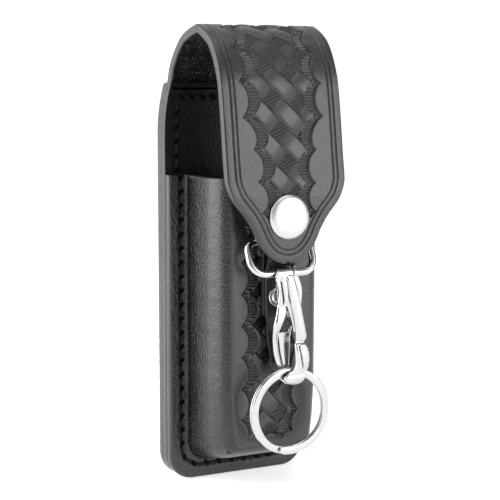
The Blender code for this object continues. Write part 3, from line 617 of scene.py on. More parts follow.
def make_flap():
    """Flap: tooled face, rounded edge and fuzzy back, arched over the top down to the tip."""
    line = flap_half_outline()
    out = normals(line)
    half, r = FLAP_THICK / 2, .75
    inset = line - out * r
    inset[:, 0] = np.maximum(inset[:, 0], .05)
    for k in range(1, len(inset)):
        inset[k, 1] = max(inset[k, 1], inset[k - 1, 1] + .004)
    face_columns, back_columns = 250, 60
    t = np.linspace(-1, 1, face_columns)
    x = inset[:, :1] * (.55 * t + .45 * np.sin(t * math.pi / 2))
    z = np.broadcast_to(inset[:, 1:], x.shape)
    far = distance_to(x, z, np.concatenate([line, (line * (-1, 1))[::-1]])[::2])
    band, ribbed, hatched = tooled(x, z, LEFT_TIPS, RIGHT_TIPS, (-.1, 136.8),
                                   smoothstep(WEAVE_LOW - .15, WEAVE_LOW + .15, z))
    band = band * smoothstep(92.0, 96.5, z)
    height = band + .08 * bell(far, 3.85, .4)
    for place in EDGE_LINES:
        height -= LINE_DEEP * bell(far, place, LINE_WIDE)
    # the outer rim falls away a little, as a creased and burnished edge does
    height -= .06 * (1 - smoothstep(.75, 1.6, far))
    height += .05 * np.sin(x * .31 + 1.3) * np.sin(z * .17)
    face = on_flap(x, z, half + height)
    turns = np.radians([15, 32, 50, 70, 90])
    drop = r - r * np.cos(turns)
    back_off = r - r * np.sin(np.concatenate([turns, turns[::-1]]))
    xs, zs = (line[:, k:k + 1] - out[:, k:k + 1] * back_off for k in (0, 1))
    ds = np.broadcast_to(np.concatenate([half - .06 - drop, drop[::-1] - half]), xs.shape)
    right = on_flap(xs, zs, ds)
    left = on_flap(-xs[:, ::-1], zs[:, ::-1], ds[:, ::-1])
    bx = inset[:, :1] * np.linspace(1, -1, back_columns)
    bz = np.broadcast_to(inset[:, 1:], bx.shape)
    sag = .10 * np.sin(bx * .9 + bz * .35) * np.sin(bz * .53 - bx * .4)
    rings = np.concatenate([face, right, on_flap(bx, bz, sag - half), left], 1)
    rows, count = rings.shape[:2]
    grain, edge, flesh = range(3)
    back_start = face_columns + right.shape[1]
    back_end = back_start + back_columns - 1
    kinds = np.full((rows - 1, count), grain)
    kinds[:, face_columns:back_start] = edge
    kinds[:, back_start - 1:back_end] = flesh
    kinds[:, back_end + 1:-1] = edge
    made = piece("flap", skin(rings), GRAIN, EDGE, FLESH, body=None,
                 kinds=kinds.reshape(-1).tolist() + [grain, edge],
                 stands_for=("flap_root", "flap_front"))
    mark_tooling(made, count, ribbed, hatched, -band)
    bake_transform(made)


make_flap()


# ---- moulded body
FRONT_ROUND, BASE_SIDE, FLANGE_Y, REAR_Y = 5.4, 20.2, -3.4, -.2
FOOT_Z, BASE_FOOT_Z, CREASE_ROUND = 12.6, 7.3, 1.3
RIDGE_AT, RIDGE_HIGH, CORNER_TURN = .17, .8, 73
RIM_EDGE, WALL, INNER_SIDE, FLOOR_Z = 1.3, 2.8, 17.2, 14.0
CASE_SIDE, CASE_ROUND, BASE_ROUND = 27.0, 9.0, 6.6


def front_side(z):
    """Half width of the body at its front."""
    return np.interp(z, (FOOT_Z, 24.0, 36.0, MOUTH_Z), (16.9, 18.4, 19.1, 19.4))


BODY_LEFT = [(-11.6, z) for z in (113, 102.1, 91.2, 80.3, 69.4, 58.5, 47.6, 36.7, 25.8, 14.9)]
BODY_RIGHT = [(10.8, z) for z in (115, 104.1, 93.2, 82.3, 71.4, 60.5, 49.6, 38.7, 27.8, 16.9)]
BODY_FOOT = [(17.4, 12.0), (17.2, 3.8), (17.2, -4.4), (17.6, -12.6)]


def make_body():
    """Pouch: tooled front, moulded wall, sewn flange, and the mouth with the inside."""
    low = FOOT_Z + FRONT_ROUND
    rows, columns = 380, 170
    zs = np.linspace(MOUTH_Z - .4, low, rows)
    flat = front_side(zs) - FRONT_ROUND
    x = flat[:, None] * np.linspace(-1, 1, columns)
    z = np.broadcast_to(zs[:, None], x.shape)
    relief, ribbed, hatched = tooled(x, z, BODY_LEFT, BODY_RIGHT, (.6, 60.0),
                                     1 - smoothstep(104.0, 106.0, z), BODY_FOOT)
    relief = relief * 1.1
    front = np.stack([x, BODY_FRONT - relief, z], -1)
    # columns round the U: left side down, corner, foot, corner, right side up
    left = [(-w, h, -1.0, 0.0) for w, h in zip(flat, zs)]
    left += [(-flat[-1], low, -math.cos(a), -math.sin(a))
             for a in np.radians(np.linspace(0, 90, 24)[1:-1])]
    foot = [(v, low, 0.0, -1.0) for v in x[-1]]
    spots = np.array(left + foot + [(-a, b, -c, d) for a, b, c, d in left[::-1]])
    q, e = spots[:, :2], spots[:, 2:]

    def outline(side, foot, radius):
        """The U again at another depth, point for point."""
        made = np.empty_like(q)
        cx, cz, top = side - radius, foot + radius, zs[0]
        made[:, 0] = np.sign(e[:, 0]) * side
        made[:, 1] = top - (top - cz) * (top - q[:, 1]) / (top - low)
        turn = np.abs(e[:, 0]) <= .9999
        made[turn, 0] = np.sign(q[turn, 0]) * cx + e[turn, 0] * radius
        made[turn, 1] = cz + e[turn, 1] * radius
        under = np.abs(e[:, 0]) < 1e-9
        made[under, 0] = q[under, 0] / flat[-1] * cx
        made[under, 1] = foot
        return made

    base = outline(BASE_SIDE, BASE_FOOT_Z, BASE_ROUND)
    rim = outline(CASE_SIDE, 0.0, CASE_ROUND)
    layers = [(q + e * FRONT_ROUND * math.sin(a), BODY_FRONT + FRONT_ROUND * (1 - math.cos(a)))
              for a in np.radians(np.linspace(0, CORNER_TURN, 12))]
    corner = math.radians(CORNER_TURN)
    start, end = BODY_FRONT + FRONT_ROUND * (1 - math.cos(corner)), FLANGE_Y - CREASE_ROUND
    shoulder = q + e * FRONT_ROUND * math.sin(corner)
    for t in np.linspace(0, 1, 46)[1:]:
        # a soft ridge along the wall, a sixth of the way back, where the leather bends
        side = t / RIDGE_AT if t < RIDGE_AT else (1 - t) / (1 - RIDGE_AT)
        bow = -RIDGE_HIGH * (side - .16 * bell(t, RIDGE_AT, .06))
        bow -= .30 * bell((1 - t) * (end - start), .4, 2.4)
        layers.append((shoulder * (1 - t) + base * t - e * bow, start + (end - start) * t))
    layers += [(base + e * CREASE_ROUND * (1 - math.cos(a)),
                end + (CREASE_ROUND + .25) * math.sin(a))
               for a in np.radians(np.linspace(0, 90, 8)[1:])]
    for t in np.linspace(0, 1, 26)[1:]:
        crown = .25 * (1 - smoothstep(0.0, .35, t)) - .12 * math.sin(math.pi * t)
        crown += .50 * bell(t, .26, .14)
        layers.append(((base + e * CREASE_ROUND) * (1 - t) + (rim - e * RIM_EDGE) * t,
                       FLANGE_Y + crown))
    layers += [(rim - e * RIM_EDGE * (1 - math.sin(a)), FLANGE_Y + RIM_EDGE * (1 - math.cos(a)))
               for a in np.radians((18, 38, 58, 75, 90))]
    layers += [(rim + e * .03, (FLANGE_Y + REAR_Y) / 2), (rim, REAR_Y - .3),
               (rim - e * .3, REAR_Y)]
    wall = np.array([at_depth(place, y) for place, y in layers])
    # the sides keep soft creases from moulding
    creased = wall[12:40]
    ripple = .05 * np.sin(creased[..., 2] * .9) * np.sin(creased[..., 2] * .23 + 1.0)
    creased[..., 0] += ripple * np.sign(creased[..., 0])
    # mouth: rounded lip, then the inside
    section = np.concatenate([wall[::-1, 0], front[0], wall[:, -1]])
    keep = [0]
    for k in range(1, len(section)):
        if np.linalg.norm(section[k] - section[keep[-1]]) > .01:
            keep.append(k)
    section = section[keep, :2]
    inner = section - normals(section) * WALL
    flange = section[:, 1] > FLANGE_Y - 1.8
    outside = np.abs(section[flange, 0]) > INNER_SIDE
    inner[flange, 0] = section[flange, 0] * np.where(outside, .999, 1.0)
    inner[flange, 1] = REAR_Y
    inner[:, 1] = np.minimum(inner[:, 1], REAR_Y)
    lip = [at_height(section * (1 - share) + inner * share, MOUTH_Z - drop)
           for share, drop in ((0, .4), (.03, .2), (.10, .05), (.22, 0), (.78, 0), (.90, .05),
                               (.97, .2), (1, .4))]
    lip += [at_height(inner * (front_side(h) / front_side(MOUTH_Z), 1), h)
            for h in np.linspace(MOUTH_Z - 4, FLOOR_Z, 24)]
    shape = join([(front.reshape(-1, 3), grid_faces(rows, columns)),
                  (wall.reshape(-1, 3), grid_faces(len(wall), len(spots))),
                  (np.concatenate(lip), grid_faces(len(lip), len(section)))])
    made = piece("pouch", shape, SMOOTH, EDGE, FLESH, GRAIN, FLANGE, stands_for=("case_body",))
    mark_tooling(made, columns, ribbed, hatched, -relief)
    clean(made.data, .004)
    px, py, pz = (np.array([p.center for p in made.data.polygons]) / MM + SHIFT).T
    facing = np.array([p.normal[1] for p in made.data.polygons])
    smooth, edge, flesh, grain, sewn = range(5)
    kinds = np.full(len(px), smooth)
    kinds[(py > FLANGE_Y - .5) & (facing < -.55)] = sewn
    kinds[((np.abs(px) > 26.3) | (pz < .7)) & (py > FLANGE_Y + .25)] = edge
    kinds[pz > MOUTH_Z - .3] = edge
    inside = np.abs(px) < np.minimum(front_side(pz) - 1.4, 17.3)
    inside &= (py > BODY_FRONT + 2.2) & (pz > FLOOR_Z - .1)
    kinds[inside & (np.abs(pz - MOUTH_Z) > .3)] = flesh
    kinds[py < BODY_FRONT + .3] = grain
    made.data.polygons.foreach_set("material_index", kinds.tolist())
    # a dark floor closes the inside
    ring = at_height(inner * (.9, 1), FLOOR_Z)[::3]
    count = len(ring)
    fan = [[k, (k + 1) % count, count] for k in range(count)]
    piece("pouch_floor", (np.vstack([ring, ring.mean(0)]), fan), FLESH)


make_body()


# ---- plates
def back_outline():
    """Outline of the back's layers: rounded foot, sides drawn in at the top."""
    foot = arc((CASE_SIDE - CASE_ROUND, CASE_ROUND), CASE_ROUND, -90, 0, 20)
    t = np.linspace(0, 1, 16)
    top = np.stack([CASE_SIDE - 2.4 * t ** 2, 123 + 17.5 * t], 1)
    half = np.concatenate([[(0.0, 0.0)], foot, top, [(24.1, BACK_TOP), (0.0, BACK_TOP)]])
    whole = np.concatenate([half, (half * (-1, 1))[::-1][1:-1]])
    return resample(np.vstack([whole, whole[:1]]), .6)[:-1]


def plate(name, front, rear, edge, solid):
    """A layer of the back with rounded, slightly uneven edges."""
    outline, depth = back_outline(), 2.5
    out = normals(outline, closed=True)
    uneven = .04 * np.sin(outline[:, 1] * 1.7 + front) * np.sin(outline[:, 1] * .41)
    angles = np.radians((0, 22, 45, 68, 90))
    rings = [(depth, front), (1.4, front)]
    rings += [(edge - edge * math.sin(a), front + edge - edge * math.cos(a)) for a in angles]
    rings += [(edge - edge * math.cos(a), rear - edge + edge * math.sin(a)) for a in angles]
    rings += [(1.4, rear), (depth, rear)]
    layers = [at_depth(outline - out * (inset - uneven * (1 - inset / depth))[:, None], y)
              for inset, y in rings]
    # the rings next to both faces and the faces themselves are backing, the rest is cut edge
    kinds = np.zeros((len(layers) - 1, len(outline)), int)
    kinds[2:-2] = 1
    piece(name, skin(layers), BACKING, EDGE, kinds=kinds.reshape(-1).tolist() + [0, 0],
          stands_for=(solid,))


plate("back_layer", 0.0, 3.2, .22, "back_panel")
plate("rear_layer", 3.2, 6.3, .30, "rear_panel")


def make_loop():
    """Belt loop: a strap sewn above and below the tunnel."""
    seat, out, thick, side = 8.0, 14.4, 3.0, 19.0
    top, low, rise, seam = 126.5, 67.5, 5.0, 8.0
    path = [(seat, low - rise - seam), (seat, low - rise - 1), (seat, low - rise)]
    path += eased(seat, out, low - rise, low, 13)
    path += [(out, z) for z in np.linspace(low, top, 30)[1:]]
    path += eased(out, seat, top, top + rise, 13)
    path += [(seat, top + rise + 1), (seat, top + rise + seam)]
    piece("loop_strap", strap([(y, z, side) for y, z in path], thick, .7, 40), STRAP,
          stands_for=("belt_loop",))


make_loop()


# ---- tab, rivet and snap
BAR_Y, BAR_Z, WIRE = -32.1, 87.5, 2.6
TAB_REAR_Y, TAB_FRONT_Y, TAB_THICK = -29.7, -31.7, 1.8
BOW_Y, BOW_Z = -36.6, 77.1


def make_tab():
    """Tab folded over the ring's bar; its front end runs out into a long taper."""
    fold = WIRE / 2 + .2 + TAB_THICK / 2
    side, tip, taper_top, taper_long = 4.5, 1.0, 64.5, 19.3
    path = [(TAB_REAR_Y, z) for z in (62.0, 66.0, 80.0)]
    path += arc((BAR_Y, BAR_Z), fold, 0, 180, 24).tolist()
    path += eased(BAR_Y - fold, TAB_FRONT_Y, BAR_Z - WIRE, 72.5, 12)
    path += [(TAB_FRONT_Y, z) for z in (70.0, 67.0, taper_top)]
    taper = [(TAB_FRONT_Y, 62.0)] + eased(TAB_FRONT_Y, TAB_REAR_Y, 60.0, 56.4, 10)
    taper += [(TAB_REAR_Y, z) for z in np.linspace(55.0, 47.0, 12)]
    stations = [(y, z, side) for y, z in path]
    stations += [(y, z, side - (side - tip) * (taper_top - z) / taper_long) for y, z in taper]
    stations += [(TAB_REAR_Y, 46.2, 1.4), (TAB_REAR_Y, 45.6, 1.05), (TAB_REAR_Y, 45.2, .5)]
    piece("hanger_tab", strap(stations, TAB_THICK, .45, 16), STRAP, stands_for=("ring_tab",))


def domed(face, top, radius, base, high, angles):
    """Profile (radius, y) of a dome of a height over its base, both counted from a face."""
    return [(0.0, face - top)] + [(radius * math.cos(a), face - base - high * math.sin(a))
                                  for a in np.radians(angles)]


def make_rivet():
    """Rivet with a low dome and a flat rim, its shank going through to the burr."""
    face = TAB_FRONT_Y - TAB_THICK / 2 - .1
    dome = domed(face, .80, 2.05, .32, .48, (75, 58, 42, 27, 13, 0))
    dome += [(2.15, face - .20), (2.4, face - .17), (2.9, face - .26), (3.15, face - .22),
             (3.28, face - .12), (3.3, face), (3.2, face + .05)]
    dome += [(1.4, face + .05), (1.3, face + 1), (1.3, -24.4), (0.0, -24.4)]
    piece("rivet", turned(dome, (0, RIVET_Z), 48), NICKEL, stands_for=("tab_rivet",),
          slot="nickel", gap=.01)


def make_cap():
    """Domed snap cap with a rolled rim that beds into the leather."""
    face = FRONT_Y - FLAP_THICK / 2 + .02
    dome = domed(face, 2.10, 7.1, .95, 1.15, (86, 80, 72, 64, 56, 48, 40, 32, 25, 18, 12, 7, 3))
    dome += [
        (7.30, face - .86), (7.44, face - .70), (7.50, face - .48), (7.46, face - .24),
        (7.30, face - .06), (7.0, face), (2.1, face + .05), (2.1, face + 3.9), (0.0, face + 3.9),
    ]
    piece("cap", turned(dome, (0, SNAP_Z), 96), SATIN, stands_for=("snap_cap",), body="flap",
          slot="nickel", gap=.01)


make_tab()
make_rivet()
make_cap()


# ---- rings
def make_d():
    """D-ring of round wire, leaning forward from its bar to its bow."""
    side, lean, fall, shift = (26.7 - WIRE) / 2, 4.5, 10.4, .5
    drop = math.hypot(fall, lean)
    low, high = 6.4 - WIRE / 2, 3.0
    route = np.concatenate([
        arc((side - high, -high), high, 90, 0, 12),
        arc((side - low, low - drop), low, 0, -90, 16),
        arc((low - side, low - drop), low, -90, -180, 16),
        arc((high - side, -high), high, 180, 90, 12),
    ])
    share = -route[:, 1] / drop
    route = np.stack([shift + route[:, 0], BAR_Y - lean * share, BAR_Z - fall * share], 1)
    route = resample(np.vstack([route, route[:1]]), .6)[:-1]
    piece("d_link", tube(route, WIRE / 2, 28, closed=True), CHROME, stands_for=("d_ring",),
          body="d_ring", slot="chrome")


def make_key_ring():
    """Two flat coils of oval wire with their ends laid over one another."""
    radius, band, wire, gap = 13.75, 2.6, .875, .45
    centre = (2.8, BOW_Y, BOW_Z - 33.9 - radius)
    turns, count, sides, jog = 1.92, 420, 20, .12
    a = full_turn(sides)
    oval_r, oval_y = (np.sign(v) * np.abs(v) ** .75 * size / 2
                      for v, size in ((np.cos(a), band), (np.sin(a), wire)))
    rings = []
    for k in range(count + 1):
        share = k / count
        turn = 2 * math.pi * (turns * share - .30)
        y = (wire + gap) * (smoothstep(0, 1, (share - .5) / jog + .5) - .5)
        end = min(share, 1 - share) * turns * 2 * math.pi * radius
        thin = .62 + .38 * min(end / 1.6, 1) ** .5
        reach = radius + oval_r * thin
        rings.append(np.stack([centre[0] + reach * math.cos(turn), centre[1] + y + oval_y * thin,
                               centre[2] + reach * math.sin(turn)], 1))
    piece("key_coil", skin(rings), CHROME, stands_for=("split_ring",), body="key_ring",
          slot="chrome")


make_d()
make_key_ring()


# ---- snap hook
HOOK_HALF, SHEET, PIN_X, PIN_DROP = 2.4, .9, 4.0, 13.4


def formed(rows, swell, thick, across, steps=6, slits=(), hollow=.35):
    """A strip of formed sheet, rounded on its outer face and dished on its inner one.

    rows are (y, z, left, right), y and z counted from the middle of the D's bow; each row may
    add its own swell. slits are (x0, z0, x1, z1, depth, width) lines pressed into the outer
    face. Gives vertices, faces and, per face, whether it lies at the bottom of a slit.
    """
    line = spline([tuple(r) + (swell,) * (5 - len(r)) for r in rows], steps)
    spots = np.sin(np.linspace(-1, 1, across) * math.pi / 2 * .98)
    rings, deep = [], []
    for (y, z, left, right, lift), n in zip(line, normals(line[:, :2])):
        middle, half = (left + right) / 2, (right - left) / 2
        x = middle + half * spots
        round_off = np.sqrt(np.clip(1 - ((x - middle) / half) ** 2, 0, 1))
        sheet = thick / 2 * np.minimum(1, round_off * 2.2)
        top, low = sheet + lift * round_off, hollow * lift * round_off - sheet
        cut = np.zeros(across, bool)
        for x0, z0, x1, z1, depth, width in slits:
            far = distance_to(x, z, ((x0, z0), (x1, z1)))
            top = top - depth * bell(far, 0, width)
            cut |= (far < width * .75) & (depth > .5)
        top = np.maximum(top, low + .02)
        ring = list(zip(x, top)) + list(zip(x, low))[-2:0:-1]
        rings.append([(a, BOW_Y + y + n[0] * b, BOW_Z + z + n[1] * b) for a, b in ring])
        deep.append(np.pad(cut, (0, len(ring) - across)))
    deep = np.array(deep)
    # faces at the bottom of a slit take the painted shade
    dark = deep[:-1] & np.roll(deep, -1, 1)[:-1] & deep[1:]
    return *skin(rings), dark.reshape(-1).tolist() + [False] * 2


def shade_strip(rows, across):
    """Flat strip that closes the gap beside a ridge, painted dark as the shade in that gap."""
    verts, faces, _ = formed(rows, 0.0, .3, across, steps=4)
    return verts, faces, [True] * len(faces)


def formed_piece(name, body, parts, solid):
    """Strips of sheet as one piece, with shade painted dark at the bottom of their slits."""
    piece(name, join([part[:2] for part in parts]), CHROME, SLIT_SHADE,
          kinds=[int(dark) for part in parts for dark in part[2]],
          stands_for=(solid,), body=body, slot="chrome")


def make_hook_body():
    """Rear strap, eye over the bow, two front ridges, arm, knuckle and curled nose."""
    p = HOOK_HALF
    back = [(p, -15.5, 2.0, 5.9, .05), (p, -14.6, 1.8, 7.4, .2), (p, -12.4, 2.0, 8.2, .3),
            (p, -7.6, 1.2, 8.7, .35), (p, -4.6, .6, 8.4, .3), (p, -1.9, -.7, 7.4, .2)]
    for share in np.linspace(0, 1, 9):
        a = math.pi * share
        back.append((p * math.cos(a), -.3 + p * math.sin(a), -.8 - 3.3 * share,
                     6.9 - 3.9 * share, .12))
    back += [(-p, -1.6, -4.2, 2.3, .12), (-p, -2.4, -4.05, 2.2, .05)]
    eye = formed(back, .12, SHEET, across=60, steps=7, slits=[(2.6, 2.4, 3.1, -1.6, .8, .3)],
                 hollow=.2)
    # height, the spans of the two ridges, swell
    pair = [(-.2, (-4.35, -2.75), (-2.45, -.35), .1), (-1.4, (-4.2, -2.6), (-2.3, -.1), .4),
            (-3.6, (-3.7, -2.3), (-1.95, .25), .5), (-5.9, (-3.15, -1.95), (-1.55, .5), .5),
            (-8.2, (-3.15, -1.65), (-1.2, .55), .5), (-9.9, (-3.4, -1.5), (-1.45, .5), .45),
            (-10.9, (-3.6, -1.5), (-1.6, .4), .2)]
    ridges = [formed([(-p, row[0], *row[k], row[3]) for row in pair], .5, .8, across=18)
              for k in (1, 2)]
    # strip painted dark as the shade in the gap beside the ridges
    bed = shade_strip([(-p + .55, -.6, -3.9, 2.6), (-p + .55, -5.0, -2.9, 3.4),
                    (-p + .55, -9.2, -2.7, 2.6)], across=14)
    arm = [
        (-p, -.2, -.45, 2.3, .1), (-p - .1, -1.2, -.25, 2.75, .4), (-2.6, -3.4, .1, 3.4, .55),
        (-2.66, -6.7, .6, 4.4, .6), (-2.66, -10.2, 1.4, 5.2, .6), (-2.64, -13.4, 2.17, 5.85, .6),
        (-2.62, -17.4, 2.95, 6.7, .6), (-2.60, -20.6, 3.42, 7.35, .6),
        (-2.55, -22.0, 3.55, 7.45, .5), (-2.35, -23.1, 3.70, 6.95, .1),
        (-2.25, -23.7, 3.45, 6.80, .0), (-2.35, -24.3, 3.25, 7.3, .25),
        (-2.55, -25.3, 3.20, 8.0, .5), (-2.62, -27.2, 3.28, 8.5, .75),
        (-2.62, -29.6, 3.40, 8.7, .8), (-2.55, -31.6, 3.35, 8.5, .85), (-2.4, -33.0, 2.9, 8.1, .5),
        (-2.2, -34.0, 1.9, 7.9, .2),
    ]
    knuckle = [(4.65, -25.0, 6.0, -32.2, .95, .26), (7.8, -24.7, 8.35, -31.2, .35, .16)]
    arm_solid = formed(arm, .5, SHEET, across=64, steps=8, slits=knuckle)
    inner = [(-1.85, -4.0, 0.0, 2.0), (-1.85, -8.0, .2, 2.8), (-1.85, -11.0, .6, 3.4),
             (-1.85, -13.2, 1.3, 3.6), (-1.95, -17.0, 2.4, 4.2), (-2.1, -20.0, 3.0, 4.5)]
    inner_solid = formed(inner, .25, .5, across=14, steps=5)
    spans = [(0.0, 7.9), (-.8, 7.5), (-.1, 6.9), (1.2, 6.3), (2.3, 6.0), (1.0, 5.5), (0.0, 4.8),
             (-.8, 4.2), (-1.2, 3.6)]
    nose = [(-2.3, -33.4, 1.6, 8.0, .35)]
    for k, a in enumerate(np.radians(np.linspace(180, 360, 9))):
        nose.append((2.4 * math.cos(a), -34.7 + 3.0 * math.sin(a)) + spans[k] + (
            .5 * math.sin(math.pi * k / 8) ** .5 + .1,))
    nose.append((2.4, -34.0, -1.6, 2.6, .05))
    nose_solid = formed(nose, .4, 1.0, across=36, steps=7)
    formed_piece("hook_arm", "hook", [eye, bed, *ridges, inner_solid, arm_solid, nose_solid],
                 "hook_frame")


def make_lever():
    """Moving half: arm on the pin, then the scoop-shaped jaw that closes on the nose."""
    rows = [
        (-.3, -3.6, -3.0, 0.0, .1), (-.3, -5.5, -2.6, .4, .2), (-.35, -8.0, -2.4, .5, .25),
        (-.45, -10.5, -2.5, .9, .3), (-.55, -12.4, -2.75, 1.2, .4),
        (-.75, -14.2, -3.25, .5, .5), (-.9, -16.0, -3.8, -.3, .65),
        (-.7, -17.6, -4.1, -1.1, .7), (0.0, -19.2, -4.1, -1.5, .65), (.9, -20.8, -3.8, -1.5, .6),
        (1.7, -22.6, -3.4, -1.3, .5), (2.15, -24.6, -3.0, -1.0, .5), (2.35, -27.8, -2.5, -.4, .5),
        (2.35, -30.6, -1.7, .4, .5), (2.35, -32.6, -.8, 1.4, .4), (2.35, -33.4, -.2, 1.6, .2),
    ]
    rim = formed(rows, .6, SHEET, across=26, steps=8)
    inner = [
        (1.6, -20.3, -.9, 3.0, .05), (1.9, -21.0, -1.1, 3.75, .15), (2.2, -23.0, -.7, 3.9, .2),
        (2.3, -25.4, -.3, 3.8, .25), (2.35, -28.0, .1, 3.7, .25), (2.35, -30.6, .75, 3.6, .25),
        (2.35, -32.2, 1.2, 3.5, .2), (2.35, -33.3, 1.7, 3.0, .1),
    ]
    scoop = formed(inner, .2, SHEET, across=34, steps=7)
    # strip painted dark as the shade inside the jaw
    bed = shade_strip([(2.5, -22.4, -2.6, 1.0), (2.6, -27.0, -1.9, 1.6), (2.6, -31.8, -.6, 2.4)],
                   across=10)
    wing = [(1.8, -18.3, 4.0, 4.45, .1), (1.95, -19.2, 3.5, 4.4, .2), (2.1, -20.6, 2.9, 4.1, .3),
            (2.2, -22.4, 2.5, 3.8, .3), (2.25, -23.6, 2.4, 3.6, .1)]
    wing_solid = formed(wing, .3, .7, across=16, steps=5)
    tyre = [(r, BOW_Y + y) for r, y in (
        (.95, -.75), (1.35, -.75), (1.5, -.6), (1.5, .45), (.95, .45), (.95, -.75))]
    hub, hub_faces = turned(tyre, (PIN_X, BOW_Z - PIN_DROP), 36)
    bridge = [
        (-.2, -9.8, -.6, 2.6, .1), (-.2, -10.6, -.6, 3.8, .2), (-.2, -11.8, -.5, 4.4, .2),
        (-.2, -12.6, -.4, 3.2, .1), (-.2, -13.0, -.3, 2.9, .1),
    ]
    bridge_solid = formed(bridge, .2, .8, across=16, steps=4)
    formed_piece("lever", "gate", [rim, bed, scoop, wing_solid,
                                   (hub, hub_faces, [False] * len(hub_faces)), bridge_solid],
                 "hook_gate")


make_hook_body()
make_lever()

for name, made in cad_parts.items():
    if not made.hide_render:
        made.data.materials.clear()
        made.data.materials.append(CHROME if name.startswith("hook") else NICKEL)


# ---- stitches
THREAD_RADIUS, THREAD_DIP, STITCH_GAP, LONG_PITCH, SHORT_PITCH = .38, .55, .9, 5.0, 4.1
HOLE_RADIUS, HOLE_SLANT, HOLE_SIDES = .74, 52, 14


def stitch(start, end, y, sign):
    """One stitch between (x, z) places, out of a hole, over the leather at y and in again."""
    t = np.linspace(0, 1, 11)
    lift = np.sin(math.pi * t) ** .6
    path = at_depth(start + (end - start) * t[:, None], y)
    path[:, 1] += sign * (lift * (THREAD_DIP + THREAD_RADIUS * .35) - THREAD_DIP)
    return tube(path, THREAD_RADIUS * (.72 + .28 * lift), 8)


def hole(place, y, way):
    """Slanting awl hole: a shallow dimple, painted dark as the shade inside the pierced leather.
    """
    a = full_turn(HOLE_SIDES)
    heading = math.atan2(way[1], way[0]) - math.radians(HOLE_SLANT)
    turn = np.array([(math.cos(heading), math.sin(heading)),
                     (-math.sin(heading), math.cos(heading))])
    oval = HOLE_RADIUS * np.stack([1.75 * np.cos(a), np.sin(a)], 1) @ turn
    rings = [at_depth(place + oval * share, y - push)
             for share, push in ((1.1, .10), (.85, .36), (.45, .40))]
    verts = np.concatenate(rings + [at_depth(place[None, :], y - .40)])
    faces = grid_faces(3, HOLE_SIDES, wrap=True).tolist()
    last, tip = 2 * HOLE_SIDES, 3 * HOLE_SIDES
    faces += [[last + j, last + (j + 1) % HOLE_SIDES, tip] for j in range(HOLE_SIDES)]
    return verts, faces


def stitched(name, line, pitch, y, sign=-1):
    """A row of stitches along a line of (x, z), with awl holes where it shows in front."""
    line = resample(line, .2)
    threads, holes = [], []
    for k in range(int(distances(line)[-1] / pitch)):
        place, a, b = at_lengths(line, (
            k * pitch, k * pitch + STITCH_GAP / 2, (k + 1) * pitch - STITCH_GAP / 2))
        threads.append(stitch(a, b, y, sign))
        holes.append(hole(place, y, b - a))
    piece(name, join(threads), THREAD)
    if sign < 0:
        # the awl holes carry the painted hole shade
        piece(name + "_holes", join(holes), HOLE_SHADE)


def make_stitches():
    """The seams of the pouch, the flap, the back and the belt loop."""
    side, foot, r = 22.6, 5.0, 6.5
    round_foot = [(-side, 40.0), *arc((r - side, foot + r), r, 180, 270, 10),
                  *arc((side - r, foot + r), r, 270, 360, 10), (side, 40.0)]
    stitched("body_stitches", [(-side, 108.0), *round_foot, (side, 108.0)], LONG_PITCH,
             FLANGE_Y + .22)
    stitched("upper_stitches_l", [(-side, 110.6), (-22.3, 139.0)], LONG_PITCH, -.02)
    stitched("upper_stitches_r", [(side, 110.6), (22.3, 139.0)], LONG_PITCH, -.02)
    stitched("flap_stitches", [(-20.5, 135.9), (20.5, 135.9)], SHORT_PITCH, -.02)
    stitched("rear_stitches", [(-22.3, 138), *round_foot, (22.3, 138)], LONG_PITCH, 6.3, sign=1)
    for name, z in (("loop_stitches_top", 135.6), ("loop_stitches_low", 58.6)):
        stitched(name, [(-16.5, z), (16.5, z)], SHORT_PITCH, 9.5, sign=1)


make_stitches()


# ---- studio
PAPER_GREY, PAPER_GLOW, WORLD_GLOW = .82, .64, .38


def paper(tree, where):
    """Pale studio paper: it takes the object's shadow and looks near white.

    It glows only for the rays that show the background: straight, mirrored or through glass.
    """
    rays = node(tree, "LightPath", {}).outputs
    seen = rays["Is Camera Ray"]
    for kind in ("Is Glossy Ray", "Is Transmission Ray"):
        seen = combine(tree, seen, rays[kind], "MAXIMUM")
    return {
        "Base Color": (PAPER_GREY, PAPER_GREY, PAPER_GREY, 1), "Roughness": .9,
        "Emission Color": (1, 1, 1, 1), "Emission Strength": combine(tree, seen, PAPER_GLOW)}


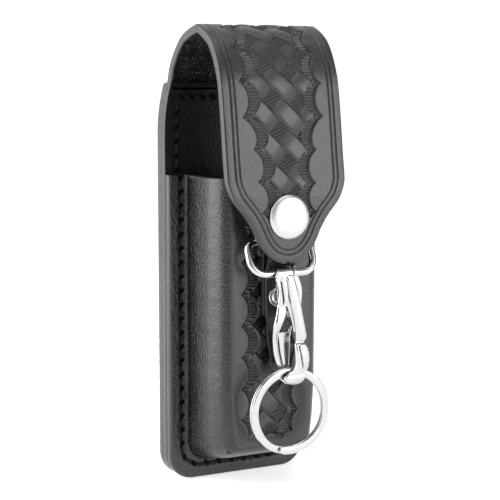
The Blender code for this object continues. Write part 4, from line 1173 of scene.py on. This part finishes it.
def make_stage():
    """Floor that curves up into a backdrop."""
    base = row_frame((0, 0, -.25))[2]
    flat_end, curve, left, right, top = .9, .5, -1.8, 2.4, 2.2
    profile = [(-1.2, base), (flat_end, base)]
    profile += [(flat_end + curve * math.sin(a), base + curve - curve * math.cos(a))
                for a in np.radians(np.linspace(6, 90, 15))]
    profile += [(flat_end + curve, top)]
    verts = [(x, y, z) for y, z in profile for x in (left, right)]
    mesh = bpy.data.meshes.new("studio_floor")
    faces = [[2 * k, 2 * k + 1, 2 * k + 3, 2 * k + 2] for k in range(len(profile) - 1)]
    mesh.from_pydata(verts, [], faces)
    for f in mesh.polygons:
        f.use_smooth = True
    mesh.materials.append(material("studio_paper", paper))
    add("studio_floor", mesh)


def area_light(name, place, aim, width, height, radiance):
    """Rectangular panel that looks from a place to another."""
    data = bpy.data.lights.new(name, "AREA")
    data.shape = "RECTANGLE"
    data.size, data.size_y = width, height
    data.energy = radiance * math.pi * width * height
    made = add(name, data)
    made.location = place
    made.rotation_euler = (Vector(aim) - Vector(place)).to_track_quat("-Z", "Y").to_euler()


def make_lights():
    """Panels at the right front, above and at the left, and a grey world."""
    area_light("key_panel", (.42, -.80, .02), (0, -.02, .02), .66, 1.0, 3.2)
    area_light("top_panel", (-.05, -.10, .85), (0, 0, 0), .9, .7, 1.4)
    area_light("left_panel", (-.55, .25, .05), (0, .25, .05), .80, 1.1, 3.6)
    world = bpy.data.worlds.new("studio")
    world.use_nodes = True
    tree = world.node_tree
    feed(tree, tree.nodes["Background"], {"Color": (1, 1, 1, 1), "Strength": WORLD_GLOW})
    bpy.context.scene.world = world


make_stage()
make_lights()

camera_data = bpy.data.cameras.new("photo_camera")
camera_data.lens = 99.72
camera_data.sensor_width = 36.0
camera_data.clip_start = .01
camera = add("photo_camera", camera_data)
camera.location = (-.2235, -.4515, .0440)
camera.rotation_euler = (math.radians(90 - 6.9), 0, math.radians(-27.5))
bpy.context.scene.camera = camera

bpy.context.scene.view_settings.view_transform = "Standard"
